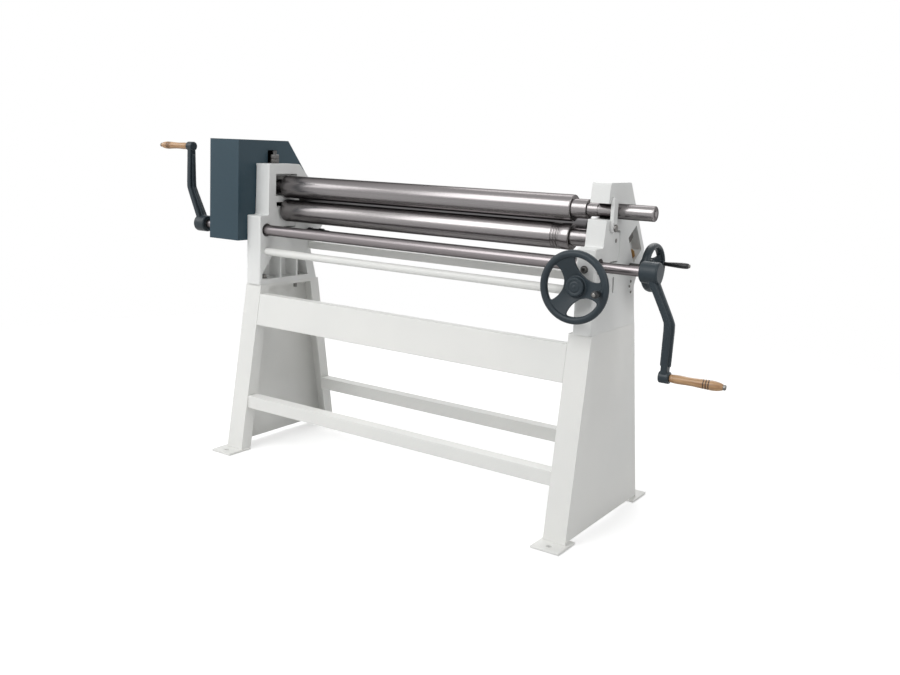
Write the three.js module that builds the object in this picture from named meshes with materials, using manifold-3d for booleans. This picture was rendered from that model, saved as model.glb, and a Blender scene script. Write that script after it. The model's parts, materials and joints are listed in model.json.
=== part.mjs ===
// A hand-operated three-roll bending machine (slip roll) on its own stand, in millimetres, +Z up.
// X runs along the rolls, Y points from the front (feed) side to the rear, and the floor is z = 0.
// While it is built, x = 0 is the left end of the roll barrels and y = 0 the plane of the two front rolls.
import * as THREE from "three";
import { mergeVertices } from "three/addons/utils/BufferGeometryUtils.js";
import Module from "manifold-3d";

const wasm = await Module();
wasm.setup();

// Rolls
const BARREL_LENGTH = 1300;
const ROLL_RADIUS = 45;
const BARREL_EDGE = 3; // rounded edge of a barrel's end
const NIP_GAP = 6; // between the upper and the lower roll at rest
const ROLL_ABOVE_BASE = 297.7; // axis of the lower roll above the frames' feet
const REAR_ROLL_BEHIND = 130; // axis of the rear roll at rest, behind the front rolls
const REAR_ROLL_ABOVE = 12; // and above the lower roll's axis
const REAR_SLIDE_LEAN = 33; // degrees that the rear roll's slots lean forward
const REAR_RISE = 60; // travel of the rear roll up its slots
const REAR_DROP = 12; // and down them
const LIFT_TRAVEL = 4; // travel of the lower roll each way
const JOURNAL_RADIUS = 22.5;
const DRIVEN_JOURNAL_RADIUS = 27; // at the geared left end
const DRIVEN_SHOULDER = 2; // outside the left frame, against the gears
const GEAR_SEAT_STEP = 5; // from the driven journal down to the gears' seat
const UPPER_END_BEYOND_GEAR = 14;
const LOWER_END_BEYOND_GEAR = 4;
const REAR_JOURNAL_RADIUS = 20;
const REAR_JOURNAL_INSET = 16; // of its ends, behind the frames' outer faces
const LOWER_JOURNAL_INSET = 12; // of its right end, behind the right frame's outer face
const UPPER_NECK_RADIUS = 32.5;
const UPPER_NECK_LENGTH = 53;
const LOWER_NECK_RADIUS = 29.5;
const NECK_GAP = 3; // from the lower and the rear neck to the right frame
const TAIL_RADIUS = 25; // free end of the upper roll, outside the right frame
const TAIL_START = 4; // outside the frame's face
const TAIL_LENGTH = 125;
const TAIL_GROOVE_AT = 40; // from the neck to the end of the groove of the thin journal
const TAIL_GROOVE_WIDTH = 3;
const TAIL_GROOVE_DEPTH = 2;
const WIRE_GROOVES = [3, 3.5, 4.5]; // radii of the grooves for bending wire
const WIRE_GROOVE_START = 64; // first groove, from the right end of the lower barrel
const WIRE_GROOVE_STEP = 11;

// Clearances
const SEAT_GAP = 0.3; // between pieces that touch
const RUN_GAP = 0.3; // round a journal, a shaft or a sliding block
const OPEN = 1; // that a cut reaches past the face it opens

// Side frames
const LEFT_FRAME_GAP = 5; // from the left end of the barrels to the frame
const LEFT_FRAME_THICKNESS = 75;
const RIGHT_FRAME_GAP = 88;
const RIGHT_FRAME_THICKNESS = 65;
const FRAME_ABOVE_ROLL = 92; // top of the frames above the upper roll's axis
const SHOULDER_BELOW_ROLL = 19; // where the front steps back, under the lower roll's axis
const SHOULDER_FRONT = 148; // front of the lower part
const LEFT_TOWER_FRONT = 102;
const RIGHT_TOWER_FRONT = 95; // at the shoulder; the right tower leans back
const RIGHT_TOWER_TOP_FRONT = 65;
const LEFT_TOWER_REAR = 75;
const RIGHT_TOWER_REAR = 97;
const TOWER_ROUND = 6;
const EAR_REACH = 68; // from the slot's centre line to the frame's rear edge
const EAR_BELOW = 113; // from the rear roll down to the end of the ear
const EAR_ABOVE = 103; // and up to where the ear meets the tower
const EAR_ROUND = 10;
const LEFT_WAIST = 151;
const RIGHT_WAIST = 175;
const WAIST_ABOVE_BASE = 135.7;
const WAIST_ROUND = 14;
const LEFT_FOOT_REAR = 193;
const RIGHT_FOOT_REAR = 204;
const FOOT_FLANGE = 20; // thickness of the frame's foot
const FOOT_DRAFT = 6; // that the flange's rear end leans
const FOOT_ROUND = 4;
const SHOULDER_ROUND = 8;
const POCKET_HEIGHT = 91.7; // pockets over the foot, open to the inside
const POCKET_WEB = 14; // wall left behind them
const POCKET_FRONT = 133;
const POCKET_SLANT = 54; // width of the slanted corner of the front pocket
const POCKET_SLANT_HEIGHT = 67;
const POCKET_REAR_WALL = 12;
const POCKET_REAR_SLANT = 24;
const POCKET_RIBS = [-26, 71]; // centre planes of the two ribs
const POCKET_RIB_THICKNESS = 9;
const POCKET_ROUND = 5;

// Bearing blocks and their slots
const LEFT_BLOCK_HALF = 57; // half width of the lower blocks
const RIGHT_BLOCK_HALF = 33;
const LEFT_BLOCK_TOP = 16; // above the lower roll's axis
const RIGHT_BLOCK_TOP = 28;
const BLOCK_BELOW = 67.7; // underside of the blocks below the axis
const BLOCK_TOP_ROUND = 16;
const BLOCK_FOOT_ROUND = 2;
const SLOT_TOP = 34; // top of the slot above the axis
const BLOCK_INSET = 2; // behind the frame's faces
const REAR_BLOCK_ALONG = 30; // half length of a rear block along its slot
const REAR_BLOCK_ACROSS = 28;
const REAR_BLOCK_ROUND = 3;
const REAR_BLOCK_WALL = 4; // that closes the bore of a rear block
const REAR_WALL = 10; // outer wall behind a rear block
const WINDOW_ABOVE = 52; // window of the left frame, from the upper roll's axis
const WINDOW_BELOW = 37;
const WINDOW_HALF = 62;
const WINDOW_DEPTH = 36;
const WINDOW_STEP = 18; // its lower rear corner steps in by this
const WINDOW_STEP_HEIGHT = 20;
const WINDOW_SLANT_HEIGHT = 22;
const WINDOW_ROUND = 3;
const UPPER_BLOCK_HALF = 42;
const UPPER_BLOCK_ABOVE = 43;
const UPPER_BLOCK_BELOW = 34;
const SHELL_WALL = 3.4; // of the upper roll's right bearing shell
const SHELL_REACH = 34; // of the shell, to the front of the journal's axis
const BEARING_INSET = 1; // of both upper bearings, behind the frames' faces

// Lift of the lower roll
const LIFT_SHAFT_RADIUS = 8;
const LIFT_SHAFT_INSET = 5; // of its right end, behind the frame's outer face
const LIFT_SHAFT_OVERHANG = 8; // of its left end, beyond the left cam
const CAM_RADIUS = 20;
const CAM_THROW = 6.8; // eccentricity, towards the front at rest
const CAM_WIDTH = 14;
const CAM_ROOM = 2; // round a cam at any angle
const LEFT_CAM_GAP = 6; // from the left cam to the wall beside it
const RIGHT_CAM_GAP = 3; // from the right cam to the frame's inner face
const LIFT_WORM_RADIUS = 12; // pitch radius of the front handwheel's worm
const LIFT_WORM_LENGTH = 38;
const LIFT_WORM_ADDENDUM = 1.7;
const LIFT_WORM_AT = 28; // its axis, from the right frame's inner face
const LIFT_WORM_ROOM = 5; // under the worm
const LIFT_TEETH = 24;
const LIFT_MODULE = 3;
const LIFT_WHEEL_WIDTH = 14;
const LIFT_WHEEL_ROOM = 2; // round the worm wheel
const RELIEF_GAP = 3; // between the worm wheel and the sides of the block's relief
const MECHANISM_WALL = 12; // wall that closes the mechanism's cavity
const FRONT_SHAFT_RADIUS = 10;
const FRONT_SHAFT_TAIL = 16; // its end behind the worm, in the frame
const INDICATOR_WIDTH = 12; // slot in the right frame's outer wall
const INDICATOR_HEIGHT = 54;
const INDICATOR_BELOW = 36; // its lower end, under the worm's axis
const INDICATOR_ROUND = 5;

// Rear roll's screws
const NUT_BELOW = 86.6; // from the rear roll at rest down its slot to the nut and the cross shaft
const CROSS_SHAFT_RADIUS = 7;
const CROSS_SHAFT_OVERHANG = 4; // of its left end, beyond the left drum
const REAR_DRUM_RADIUS = 30; // pitch radius of the drums that turn the nuts
const REAR_DRUM_LENGTH = 40;
const REAR_DRUM_ROOM = 3;
const DRUM_GAP = 0.4; // between the nuts' teeth and the drums
const REAR_SCREW_RADIUS = 9;
const REAR_SCREW_SPARE = 2; // that stays under the nut at the top of the travel
const REAR_SCREW_ROOM = 1;
const NUT_TEETH = 24;
const NUT_MODULE = 2;
const NUT_WIDTH = 16;
const NUT_ROOM = 2;
const RIGHT_NUT_INSET = 33; // of the right nut's axis, behind the frame's outer face
const NUT_WALL = 2; // outside the right nut's cavity
const CLUTCH_LENGTH = 112; // dark sleeve on the cross shaft, next to the left frame
const CLUTCH_RADIUS = 14;
const REAR_WINDOW_TOP = 8; // top edge of the right frame's rear window, along the slot
const REAR_WINDOW_MARGIN = 22; // left between it and the ear's edge
const REAR_WINDOW_ROUND = 3;

// Gear train
const GEAR_MODULE = 5;
const PINION_TEETH = 14;
const BULL_GEAR_TEETH = 68;
const ROLL_GEAR_TEETH = 18; // their pitch circle is the rolls' own
const ROLL_GEAR_ADDENDUM = 6.5; // long teeth keep the two roll gears engaged over the lift
const ROLL_GEAR_DEDENDUM = 6.2;
const ROLL_GEAR_THINNING = 0.9;
const DEDENDUM = 1.25; // depth of a tooth under the pitch circle, in modules
const PRESSURE_ANGLE = 20;
const BACKLASH = 0.5; // taken off each tooth's thickness
const SHALLOW_ROOT = 0.7; // depth of a worm wheel's teeth under the pitch circle, in modules
const CENTRE_EASE = 0.3; // added to the distance of pinion and large gear
const ROLL_GEAR_START = 92; // from the left end of the barrels
const ROLL_GEAR_WIDTH = 44;
const BULL_GEAR_START = 150;
const BULL_GEAR_WIDTH = 34;
const BULL_HUB_RADIUS = 48;
const BULL_RIM = 22; // rim under the teeth
const BULL_WEB = 14; // thickness of the web
const BULL_HOLES = 6;
const BULL_HOLE_RADIUS = 26;
const PINION_OVERHANG = 2; // that the pinion is wider than the large gear, on each side

// Drive shaft and cranks
const DRIVE_BEFORE = 110; // axis in front of the front rolls
const DRIVE_RADIUS = 21;
const DRIVE_END_RADIUS = 16.5; // outside the right frame and at the left end
const DRIVE_LEFT_STEP = 24; // from the left crank's hub to the shaft's step
const DRIVE_RIGHT_STEP = 2; // from the right frame to the shaft's step
const BUSH_WALL = 5;
const BUSH_INSET = 3;
const RIGHT_CRANK_REACH = 140; // from the right frame to the crank's hub
const LEFT_CRANK_REACH = 265; // from the left frame to the crank's hub
const CRANK_THROW = 322;
const CRANK_BEND = 151; // along the arm, where its slant ends
const CRANK_BEND_ROUND = 24;
const CRANK_OFFSET = 54; // of the straight part, outward from the hub's middle
const CRANK_SET = 2; // that the bend lies nearer the machine than the straight part's end
const CRANK_HUB_LENGTH = 57;
const CRANK_HUB_RADIUS = 34;
const CRANK_HUB_EDGE = [3, 4]; // chamfer, across and along
const CRANK_ARM_DEPTH = 20;
const CRANK_ARM_WIDTH = 38; // at the bend
const CRANK_ARM_FLARE = 6; // wider on each side at the hub
const CRANK_ARM_TAPER = 4; // narrower on each side at the grip
const CRANK_RIB = 6; // half width of the rib on the arm's outside, and its height
const CRANK_BOSS_RADIUS = 19;
const CRANK_BOSS_LENGTH = 34;
const CRANK_BOSS_INSET = 8; // of the boss behind the arm's inner face
const CRANK_ANGLE = 3; // degrees from straight down, at rest
const GRIP_LENGTH = 166;
const GRIP_RADIUS = 15.5;
// Along the grip from the crank, as shares of its length and radius: a slim neck, a swell and a ringed end.
const GRIP_FORM = [
  [0, 0.78],
  [0.12, 0.8],
  [0.4, 0.95],
  [0.62, 1],
  [0.76, 0.9],
  [0.79, 0.72],
  [0.82, 0.86],
  [0.92, 0.86],
  [1, 0.64],
];
const SPINDLE_RADIUS = 6;
const SPINDLE_HEAD = [10, 4]; // radius and length
const SPINDLE_TIP = [7, 3];

// Handwheels
const FRONT_WHEEL_RADIUS = 117.5;
const FRONT_WHEEL_REACH = 67; // rim plane in front of the frame
const FRONT_WHEEL_TURN = 6; // degrees that the first spoke and the handle lie below level, at rest
const FRONT_SPOKE_WIDTH = 32;
const FRONT_WINDOW_ROUND = 11; // outer corners of the windows between the spokes
const SIDE_WHEEL_RADIUS = 82.5;
const SIDE_WHEEL_REACH = 85;
const SIDE_WHEEL_TURN = -8;
const SIDE_SPOKE_WIDTH = 26;
const SIDE_WINDOW_ROUND = 8;
const SPOKES = 3;
const RIM_RADIUS = 10;
const RIM_SHOULDER = 6; // half width where the rim's round begins
const WHEEL_HUB_RADIUS = 27;
const WHEEL_HUB_LENGTH = 40;
const WHEEL_DISH = 22; // from the middle of the hub to the rim plane
const WEB_THICKNESS = 8;
const WINDOW_HUB_MARGIN = 9; // web left round the hub
const WINDOW_RIM_MARGIN = 1; // web left inside the rim
const SPOKE_FLARE = 3; // wider on each side at the hub
const SPOKE_RIM_FLARE = 5; // and at the rim
const WINDOW_HUB_ROUND = 3;
const HANDLE_BOSS_RADIUS = 9;
const HANDLE_BOSS_LENGTH = 21;
const HANDLE_SPINDLE_RADIUS = 4;
const HANDLE_HEAD = [6, 3]; // radius and length of its spindle's head
const HANDLE_EDGE = [2.5, 4]; // chamfer of its outer end, across and along
const FRONT_HANDLE_AT = 90; // from the wheel's axis
const FRONT_HANDLE_LENGTH = 34;
const FRONT_HANDLE_RADII = [10, 12]; // at the wheel and at the end
const SIDE_HANDLE_AT = 64;
const SIDE_HANDLE_LENGTH = 86;
const SIDE_HANDLE_RADII = [7, 10];

// Gear cover
const COVER_SHEET = 2.5;
const COVER_GAP = 7.5; // from the large gear to the sheet, above it and along the slanted rear
const COVER_FRONT_GAP = 19.5;
const COVER_REAR_GAP = 46.5;
const COVER_PINION_GAP = 2.2; // under the pinion
const COVER_SLANT = 50.2; // degrees from level of the slanted rear
const COVER_DEPTH = 163;
const COVER_LAP = 6; // width of the wall that laps the frame's edge
const COVER_RETURN = 54; // width of that wall at the rear
const COVER_RETURN_TOP = 26; // where it narrows, above the lower roll's axis
const COVER_NOTCH_GAP = 7; // round the nuts of the adjusting stud
const COVER_SHAFT_GAP = 6; // round the drive shaft

// Adjusting stud of the upper left bearing
const STUD_RADIUS = 10;
const STUD_ABOVE_FRAME = 52;
const STUD_OUTSIDE = 68; // from the left end of the barrels
const STUD_BEFORE = 8;
const LUG_REACH = 22; // of the lug that carries the stud, outside the frame
const LUG_HALF = 22;
const LUG_GAP = 6; // above the upper roll's gear
const NUT_ACROSS = 34;
const NUT_HEIGHT = 18;
const NUT_TURN = 11.5; // degrees

// Tie rod and tie bar
const TIE_ROD_RADIUS = 15;
const TIE_ROD_BEFORE = 111;
const TIE_ROD_ABOVE_BASE = 133.7;
const TIE_BAR_ABOVE_BASE = 130.7;
const TIE_BAR_FRONT = 138;
const TIE_BAR_SIDE = 30;
const TIE_BAR_THICKNESS = 6;
const TIE_BAR_FILLET = 4;
const TIE_BAR_EDGE = 2;

// Stand
const LEG_HEIGHT = 676;
const LEG_WIDTH = 81;
const LEG_SHEET = 5;
const LEG_TOP_PLATE = 12;
const LEG_FRONT_TOP = 140; // front edge at the top
const LEG_FRONT_BOTTOM = 241; // front edge at the floor
const LEG_REAR_TOP = 205;
const LEG_REAR_BOTTOM = 334;
const LEG_FRONT_LIP = 52;
const LEG_REAR_LIP = 48;
const LEG_WEB_LIFT = 16; // bottom edge of the web above the floor
const FOOT_PLATE = 9;
const FOOT_PLATE_WIDTH = 102;
const FOOT_PLATE_LENGTH = 118;
const FOOT_PLATE_TOE = 68; // in front of (or behind) the leg's edge
const LEFT_FOOT_OUT = 16; // that the feet stand out sideways
const RIGHT_FOOT_OUT = 12;
const FOOT_HOLE_RADIUS = 9;
const FOOT_HOLE_INSET = 34;
const BEAM_BELOW_TOP = 36; // top of the beam under the legs' top
const BEAM_HEIGHT = 126;
const BEAM_DEPTH = 40;
const BEAM_ROUND = 3;
const RAIL_SIDE = 50;
const RAIL_WALL = 4;
const RAIL_INSET = 1; // behind the legs' edges
const FRONT_RAIL_BOTTOM = 178;
const REAR_RAIL_BOTTOM = 174;
const BOLT_RADIUS = 8;
const BOLT_HEAD = [12.8, 12]; // radius and length
const BOLT_WASHER = [16, 3];
const BOLT_BELOW = 22; // of the bolt, under the leg's top plate
const BOLT_PLACES = [-98, 95]; // base bolts, from the plane of the front rolls

// Keeper of the open yoke
const KEEPER_THICKNESS = 12;
const KEEPER_WIDTH = 30;
const KEEPER_PIVOT_BELOW = 52; // under the upper roll's axis
const KEEPER_RISE = 46; // above it
const KEEPER_BEFORE = 42; // centre line of the keeper, in front of the axis
const KEEPER_FOOT_ROUND = 13;
const KEEPER_TOP_ROUND = 6;
const KEEPER_PIN_RADIUS = 7;
const KEEPER_PIN_HEAD = [12, 5]; // radius and length
const KEEPER_PIN_INSET = 10; // of its inner end, behind the right frame's inner face

// Facets of a full turn
const FINE = 20;
const MEDIUM = 14;
const SMALL = 8;
const CORNER_STEPS = 2;
const ARC_STEPS = 4; // for each quarter turn
const RIM_STEPS = 4;
const WINDOW_STEPS = 4;
const GROOVE_STEPS = 2;
const THREAD_STEPS = 9;

const rad = THREE.MathUtils.degToRad;
const frameBase = LEG_HEIGHT + SEAT_GAP;
const lowerRollHeight = frameBase + ROLL_ABOVE_BASE;
const upperRollHeight = lowerRollHeight + 2 * ROLL_RADIUS + NIP_GAP;
const rearRollHeight = lowerRollHeight + REAR_ROLL_ABOVE;
const frameTop = upperRollHeight + FRAME_ABOVE_ROLL;
const shoulderHeight = lowerRollHeight - SHOULDER_BELOW_ROLL;
const leftInner = -LEFT_FRAME_GAP;
const leftOuter = leftInner - LEFT_FRAME_THICKNESS;
const rightInner = BARREL_LENGTH + RIGHT_FRAME_GAP;
const rightOuter = rightInner + RIGHT_FRAME_THICKNESS;
const yokeHalf = JOURNAL_RADIUS + RUN_GAP + SHELL_WALL + SEAT_GAP;
const keeperPivot = upperRollHeight - KEEPER_PIVOT_BELOW;

const pinionTip = (PINION_TEETH / 2 + 1) * GEAR_MODULE;
const bullPitch = (BULL_GEAR_TEETH / 2) * GEAR_MODULE;
const bullTip = bullPitch + GEAR_MODULE;
const gearDistance = ((PINION_TEETH + BULL_GEAR_TEETH) / 2) * GEAR_MODULE + CENTRE_EASE;
const driveHeight = upperRollHeight - Math.sqrt(gearDistance ** 2 - DRIVE_BEFORE ** 2);
const gearSeat = DRIVEN_JOURNAL_RADIUS - GEAR_SEAT_STEP;
const rollGearTip = ROLL_RADIUS + ROLL_GEAR_ADDENDUM;

const blockBottom = lowerRollHeight - BLOCK_BELOW;
const liftHeight = blockBottom - SEAT_GAP - CAM_RADIUS;
const liftWheelPitch = (LIFT_TEETH / 2) * LIFT_MODULE;
const liftWheelTip = liftWheelPitch + LIFT_MODULE;
const liftWormHeight = liftHeight - liftWheelPitch - LIFT_WORM_RADIUS;
const frontShaftX = rightInner + LIFT_WORM_AT;
const liftWheelX = frontShaftX - LIFT_WHEEL_WIDTH / 2;
const mechanismWall = rightOuter - MECHANISM_WALL;
const slotLow = blockBottom - LIFT_TRAVEL - SEAT_GAP;

const nutRadius = (NUT_TEETH / 2) * NUT_MODULE;
const nutTip = nutRadius + NUT_MODULE;
const nutReach = NUT_WIDTH / 2 + NUT_ROOM;
const leftNutX = (leftOuter + leftInner) / 2;
const rightNutX = rightOuter - RIGHT_NUT_INSET;
const crossWindow = -NUT_BELOW - nutReach;
const drumReach = REAR_DRUM_LENGTH / 2 + REAR_DRUM_ROOM;

const materials = {
  paint: new THREE.MeshStandardMaterial({ color: 0xe6e6e0, roughness: 0.45, metalness: 0.0 }),
  cover: new THREE.MeshStandardMaterial({ color: 0x40525e, roughness: 0.5, metalness: 0.0 }),
  casting: new THREE.MeshStandardMaterial({ color: 0x3b4650, roughness: 0.55, metalness: 0.1 }),
  steel: new THREE.MeshStandardMaterial({ color: 0xa9a6a6, roughness: 0.3, metalness: 1.0 }),
  dark: new THREE.MeshStandardMaterial({ color: 0x4c4c4f, roughness: 0.5, metalness: 0.9 }),
  bronze: new THREE.MeshStandardMaterial({ color: 0xa8783c, roughness: 0.4, metalness: 1.0 }),
  wood: new THREE.MeshStandardMaterial({ color: 0xc09a6b, roughness: 0.5, metalness: 0.0 }),
  plastic: new THREE.MeshStandardMaterial({ color: 0x17181a, roughness: 0.35, metalness: 0.0 }),
};

const machine = new THREE.Group();

/** Adds one piece, made of a solid in the machine's own place, under its name. */
function piece(name, material, body) {
  const mesh = new THREE.Mesh(geometryOf(body), material);
  mesh.name = name;
  machine.add(mesh);
  return mesh;
}

/** Turns a closed three.js geometry into a solid that can be joined and cut. */
function solid(geometry) {
  const bare = geometry.clone();
  bare.deleteAttribute("normal");
  bare.deleteAttribute("uv");
  const merged = mergeVertices(bare, 1e-4);
  const triVerts = [];
  for (let i = 0; i < merged.index.count; i += 3) {
    const [a, b, c] = [0, 1, 2].map((k) => merged.index.getX(i + k));
    if (a !== b && b !== c && c !== a) triVerts.push(a, b, c);
  }
  const mesh = new wasm.Mesh({
    numProp: 3,
    vertProperties: merged.getAttribute("position").array,
    triVerts: new Uint32Array(triVerts),
  });
  return new wasm.Manifold(mesh);
}

/** Turns a solid back into a geometry with flat faces. */
function geometryOf(body) {
  const mesh = body.getMesh();
  const indexed = new THREE.BufferGeometry();
  indexed.setAttribute("position", new THREE.BufferAttribute(mesh.vertProperties, mesh.numProp));
  indexed.setIndex(new THREE.BufferAttribute(mesh.triVerts, 1));
  const geometry = indexed.toNonIndexed();
  geometry.computeVertexNormals();
  return geometry;
}

const join = (...bodies) => bodies.reduce((all, body) => all.add(body));
const cut = (body, ...tools) => tools.reduce((rest, tool) => rest.subtract(tool), body);

// A sketch's two directions and its thickness, for each axis that a prism can run along.
const X = new THREE.Vector3(1, 0, 0);
const Y = new THREE.Vector3(0, 1, 0);
const Z = new THREE.Vector3(0, 0, 1);
const SKETCH_PLANES = {
  x: new THREE.Matrix4().makeBasis(Y, Z, X),
  y: new THREE.Matrix4().makeBasis(X, Z, Y.clone().negate()),
  z: new THREE.Matrix4(),
};
const LATHE_AXES = {
  x: new THREE.Matrix4().makeBasis(Z, X, Y),
  y: new THREE.Matrix4(),
  z: new THREE.Matrix4().makeBasis(Y, Z, X),
};

/** A closed outline of corners [u, v, round], where round is cut back along both sides of the corner. */
function outline(corners) {
  const shape = new THREE.Shape();
  corners.forEach(([u, v, round = 0], i) => {
    const corner = new THREE.Vector2(u, v);
    const before = new THREE.Vector2(...corners[(i + corners.length - 1) % corners.length]);
    const after = new THREE.Vector2(...corners[(i + 1) % corners.length]);
    const start = before.sub(corner).setLength(round).add(corner);
    const end = after.sub(corner).setLength(round).add(corner);
    if (i === 0) shape.moveTo(start.x, start.y);
    else shape.lineTo(start.x, start.y);
    if (round > 0) shape.quadraticCurveTo(u, v, end.x, end.y);
  });
  return shape;
}

/** A sketch pushed along an axis between two places, in either order. */
function prism(axis, shape, from, to, curveSegments = CORNER_STEPS) {
  const depth = Math.abs(to - from);
  const geometry = new THREE.ExtrudeGeometry(shape, { depth, bevelEnabled: false, curveSegments });
  geometry.applyMatrix4(SKETCH_PLANES[axis]);
  const start = axis === "y" ? Math.max(from, to) : Math.min(from, to);
  geometry.translate(...["x", "y", "z"].map((name) => (name === axis ? start : 0)));
  return solid(geometry);
}

/** A box between two opposite corners, given in any order. */
function box(x0, x1, y0, y1, z0, z1) {
  const geometry = new THREE.BoxGeometry(Math.abs(x1 - x0), Math.abs(y1 - y0), Math.abs(z1 - z0));
  geometry.translate((x0 + x1) / 2, (y0 + y1) / 2, (z0 + z1) / 2);
  return solid(geometry);
}

/** A closed profile of points [radius, along] revolved about an axis through a centre. */
function revolve(axis, profile, centre, facets) {
  const closed = [...profile, profile[0]].map(([r, along]) => new THREE.Vector2(r, along));
  const geometry = new THREE.LatheGeometry(closed, facets);
  geometry.applyMatrix4(LATHE_AXES[axis]);
  geometry.translate(...centre);
  return solid(geometry);
}

/** A stepped shaft: steps [radius, length] one after another, starting at the given end. */
function stepped(axis, start, steps, facets = MEDIUM) {
  let along = 0;
  const profile = [[0, 0]];
  for (const [radius, length] of steps) {
    profile.push([radius, along], [radius, along + length]);
    along += length;
  }
  profile.push([0, along]);
  return revolve(axis, profile, start, facets);
}

/** A plain round bar along an axis. */
const bar = (axis, start, radius, length, facets) => stepped(axis, start, [[radius, length]], facets);

/** The radius of a bore's corners, when the flats of its faceted wall lie at the given radius. */
const bored = (radius, facets = MEDIUM) => radius / Math.cos(Math.PI / facets);

/** A bore: the flats of its faceted wall lie at the radius. */
const hole = (axis, start, radius, length, facets) => bar(axis, start, bored(radius, facets), length, facets);

/** Places a body at an angle about the X axis and moves it to a point. */
function placed(body, degrees, x, y, z) {
  return body.rotate([degrees, 0, 0]).translate([x, y, z]);
}

/** The outline of an involute gear, with one tooth centred on the given direction in degrees. */
function gearShape(teeth, { module, direction = 0, tip, root, thinning = BACKLASH, steps = 2 }) {
  const pitchRadius = (teeth * module) / 2;
  const baseRadius = pitchRadius * Math.cos(rad(PRESSURE_ANGLE));
  const tipRadius = tip ?? pitchRadius + module;
  const rootRadius = root ?? pitchRadius - DEDENDUM * module;
  const involute = (radius) => {
    const angle = Math.acos(Math.min(1, baseRadius / radius));
    return Math.tan(angle) - angle;
  };
  const pitchHalf = (Math.PI * module) / 2 - thinning;
  const halfAngle = (radius) => pitchHalf / (2 * pitchRadius) + involute(pitchRadius) - involute(radius);
  const flankStart = Math.max(rootRadius, baseRadius);
  const radii = rootRadius < baseRadius ? [rootRadius] : [];
  for (let i = 0; i < steps; i++) radii.push(flankStart + ((tipRadius - flankStart) * i) / (steps - 1));
  const shape = new THREE.Shape();
  for (let tooth = 0; tooth < teeth; tooth++) {
    const middle = rad(direction) + (2 * Math.PI * tooth) / teeth;
    const flank = radii.map((radius) => [radius, halfAngle(Math.max(radius, baseRadius))]);
    const points = [
      ...flank.map(([radius, half]) => [radius, middle - half]),
      ...flank.reverse().map(([radius, half]) => [radius, middle + half]),
    ];
    points.forEach(([radius, angle], i) => {
      const at = [radius * Math.cos(angle), radius * Math.sin(angle)];
      if (tooth === 0 && i === 0) shape.moveTo(...at);
      else shape.lineTo(...at);
    });
  }
  return shape;
}

/** A gear of constant width about the X axis. */
function gear(shape, x0, width, y, z, bore) {
  return prism("x", shape, x0, x0 + width)
    .translate([0, y, z])
    .subtract(hole("x", [x0 - OPEN, y, z], bore, width + 2 * OPEN));
}

/**
 * A left-handed worm thread about the Y axis: a rack's tooth swept along its helix, with the crest at the top
 * in the middle of its length.
 */
function wormThread(centre, { module, pitchRadius, addendum, root, length }) {
  const lead = Math.PI * module;
  const slope = Math.tan(rad(PRESSURE_ANGLE));
  const pitchHalf = (lead / 2 - BACKLASH) / 2;
  const inner = root - addendum; // sunk into the core
  const tip = pitchRadius + addendum;
  const section = [
    [inner, pitchHalf + (pitchRadius - inner) * slope],
    [tip, pitchHalf - addendum * slope],
  ];
  const turns = (length - 2 * section[0][1]) / lead;
  const count = Math.round(turns * THREAD_STEPS);
  const positions = [];
  for (let i = 0; i <= count; i++) {
    const turn = (i / count - 0.5) * turns;
    const [around, middle] = [-2 * Math.PI * turn, lead * turn];
    const [[r0, half0], [r1, half1]] = section;
    for (const [radius, along] of [[r0, -half0], [r1, -half1], [r1, half1], [r0, half0]]) {
      positions.push(radius * Math.sin(around), middle + along, radius * Math.cos(around));
    }
  }
  const index = [];
  const quad = (a, b, c, d) => index.push(a, b, c, a, c, d);
  for (let i = 0; i < count; i++) {
    const [here, next] = [4 * i, 4 * i + 4];
    for (let k = 0; k < 4; k++) {
      const after = (k + 1) % 4;
      quad(here + k, here + after, next + after, next + k);
    }
  }
  quad(3, 2, 1, 0);
  quad(4 * count, 4 * count + 1, 4 * count + 2, 4 * count + 3);
  const geometry = new THREE.BufferGeometry();
  geometry.setAttribute("position", new THREE.Float32BufferAttribute(positions, 3));
  geometry.setIndex(index);
  geometry.translate(...centre);
  return solid(geometry);
}

/** A point of the rear slots' own frame, along the slot and across it, as [y, z]. */
function slotPoint(along, across) {
  const lean = rad(REAR_SLIDE_LEAN);
  return [
    REAR_ROLL_BEHIND - along * Math.sin(lean) + across * Math.cos(lean),
    rearRollHeight + along * Math.cos(lean) + across * Math.sin(lean),
  ];
}

/** A rectangle of the rear slots' own frame. */
function slotRectangle(along0, along1, across0, across1, round = 0) {
  return outline([
    [...slotPoint(along0, across0), round],
    [...slotPoint(along0, across1), round],
    [...slotPoint(along1, across1), round],
    [...slotPoint(along1, across0), round],
  ]);
}

/** A round bar on the centre line of a rear slot, between two places along it. */
function slotBar(x, low, high, radius) {
  const [y, z] = slotPoint(low, 0);
  return placed(bar("z", [0, 0, 0], radius, high - low, SMALL), REAR_SLIDE_LEAN, x, y, z);
}

// The cross shaft lies level with the nuts, in front of them.
const [crossY, crossZ] = slotPoint(-NUT_BELOW, -nutRadius - REAR_DRUM_RADIUS);
const bushRadius = DRIVE_RADIUS + RUN_GAP + BUSH_WALL;
const crossHole = CROSS_SHAFT_RADIUS + RUN_GAP;
const liftHole = LIFT_SHAFT_RADIUS + RUN_GAP;
const leftBoltX = (leftInner + leftOuter + POCKET_WEB) / 2;
const rightBoltX = (rightInner + rightOuter - POCKET_WEB) / 2;

// Side frames

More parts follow.
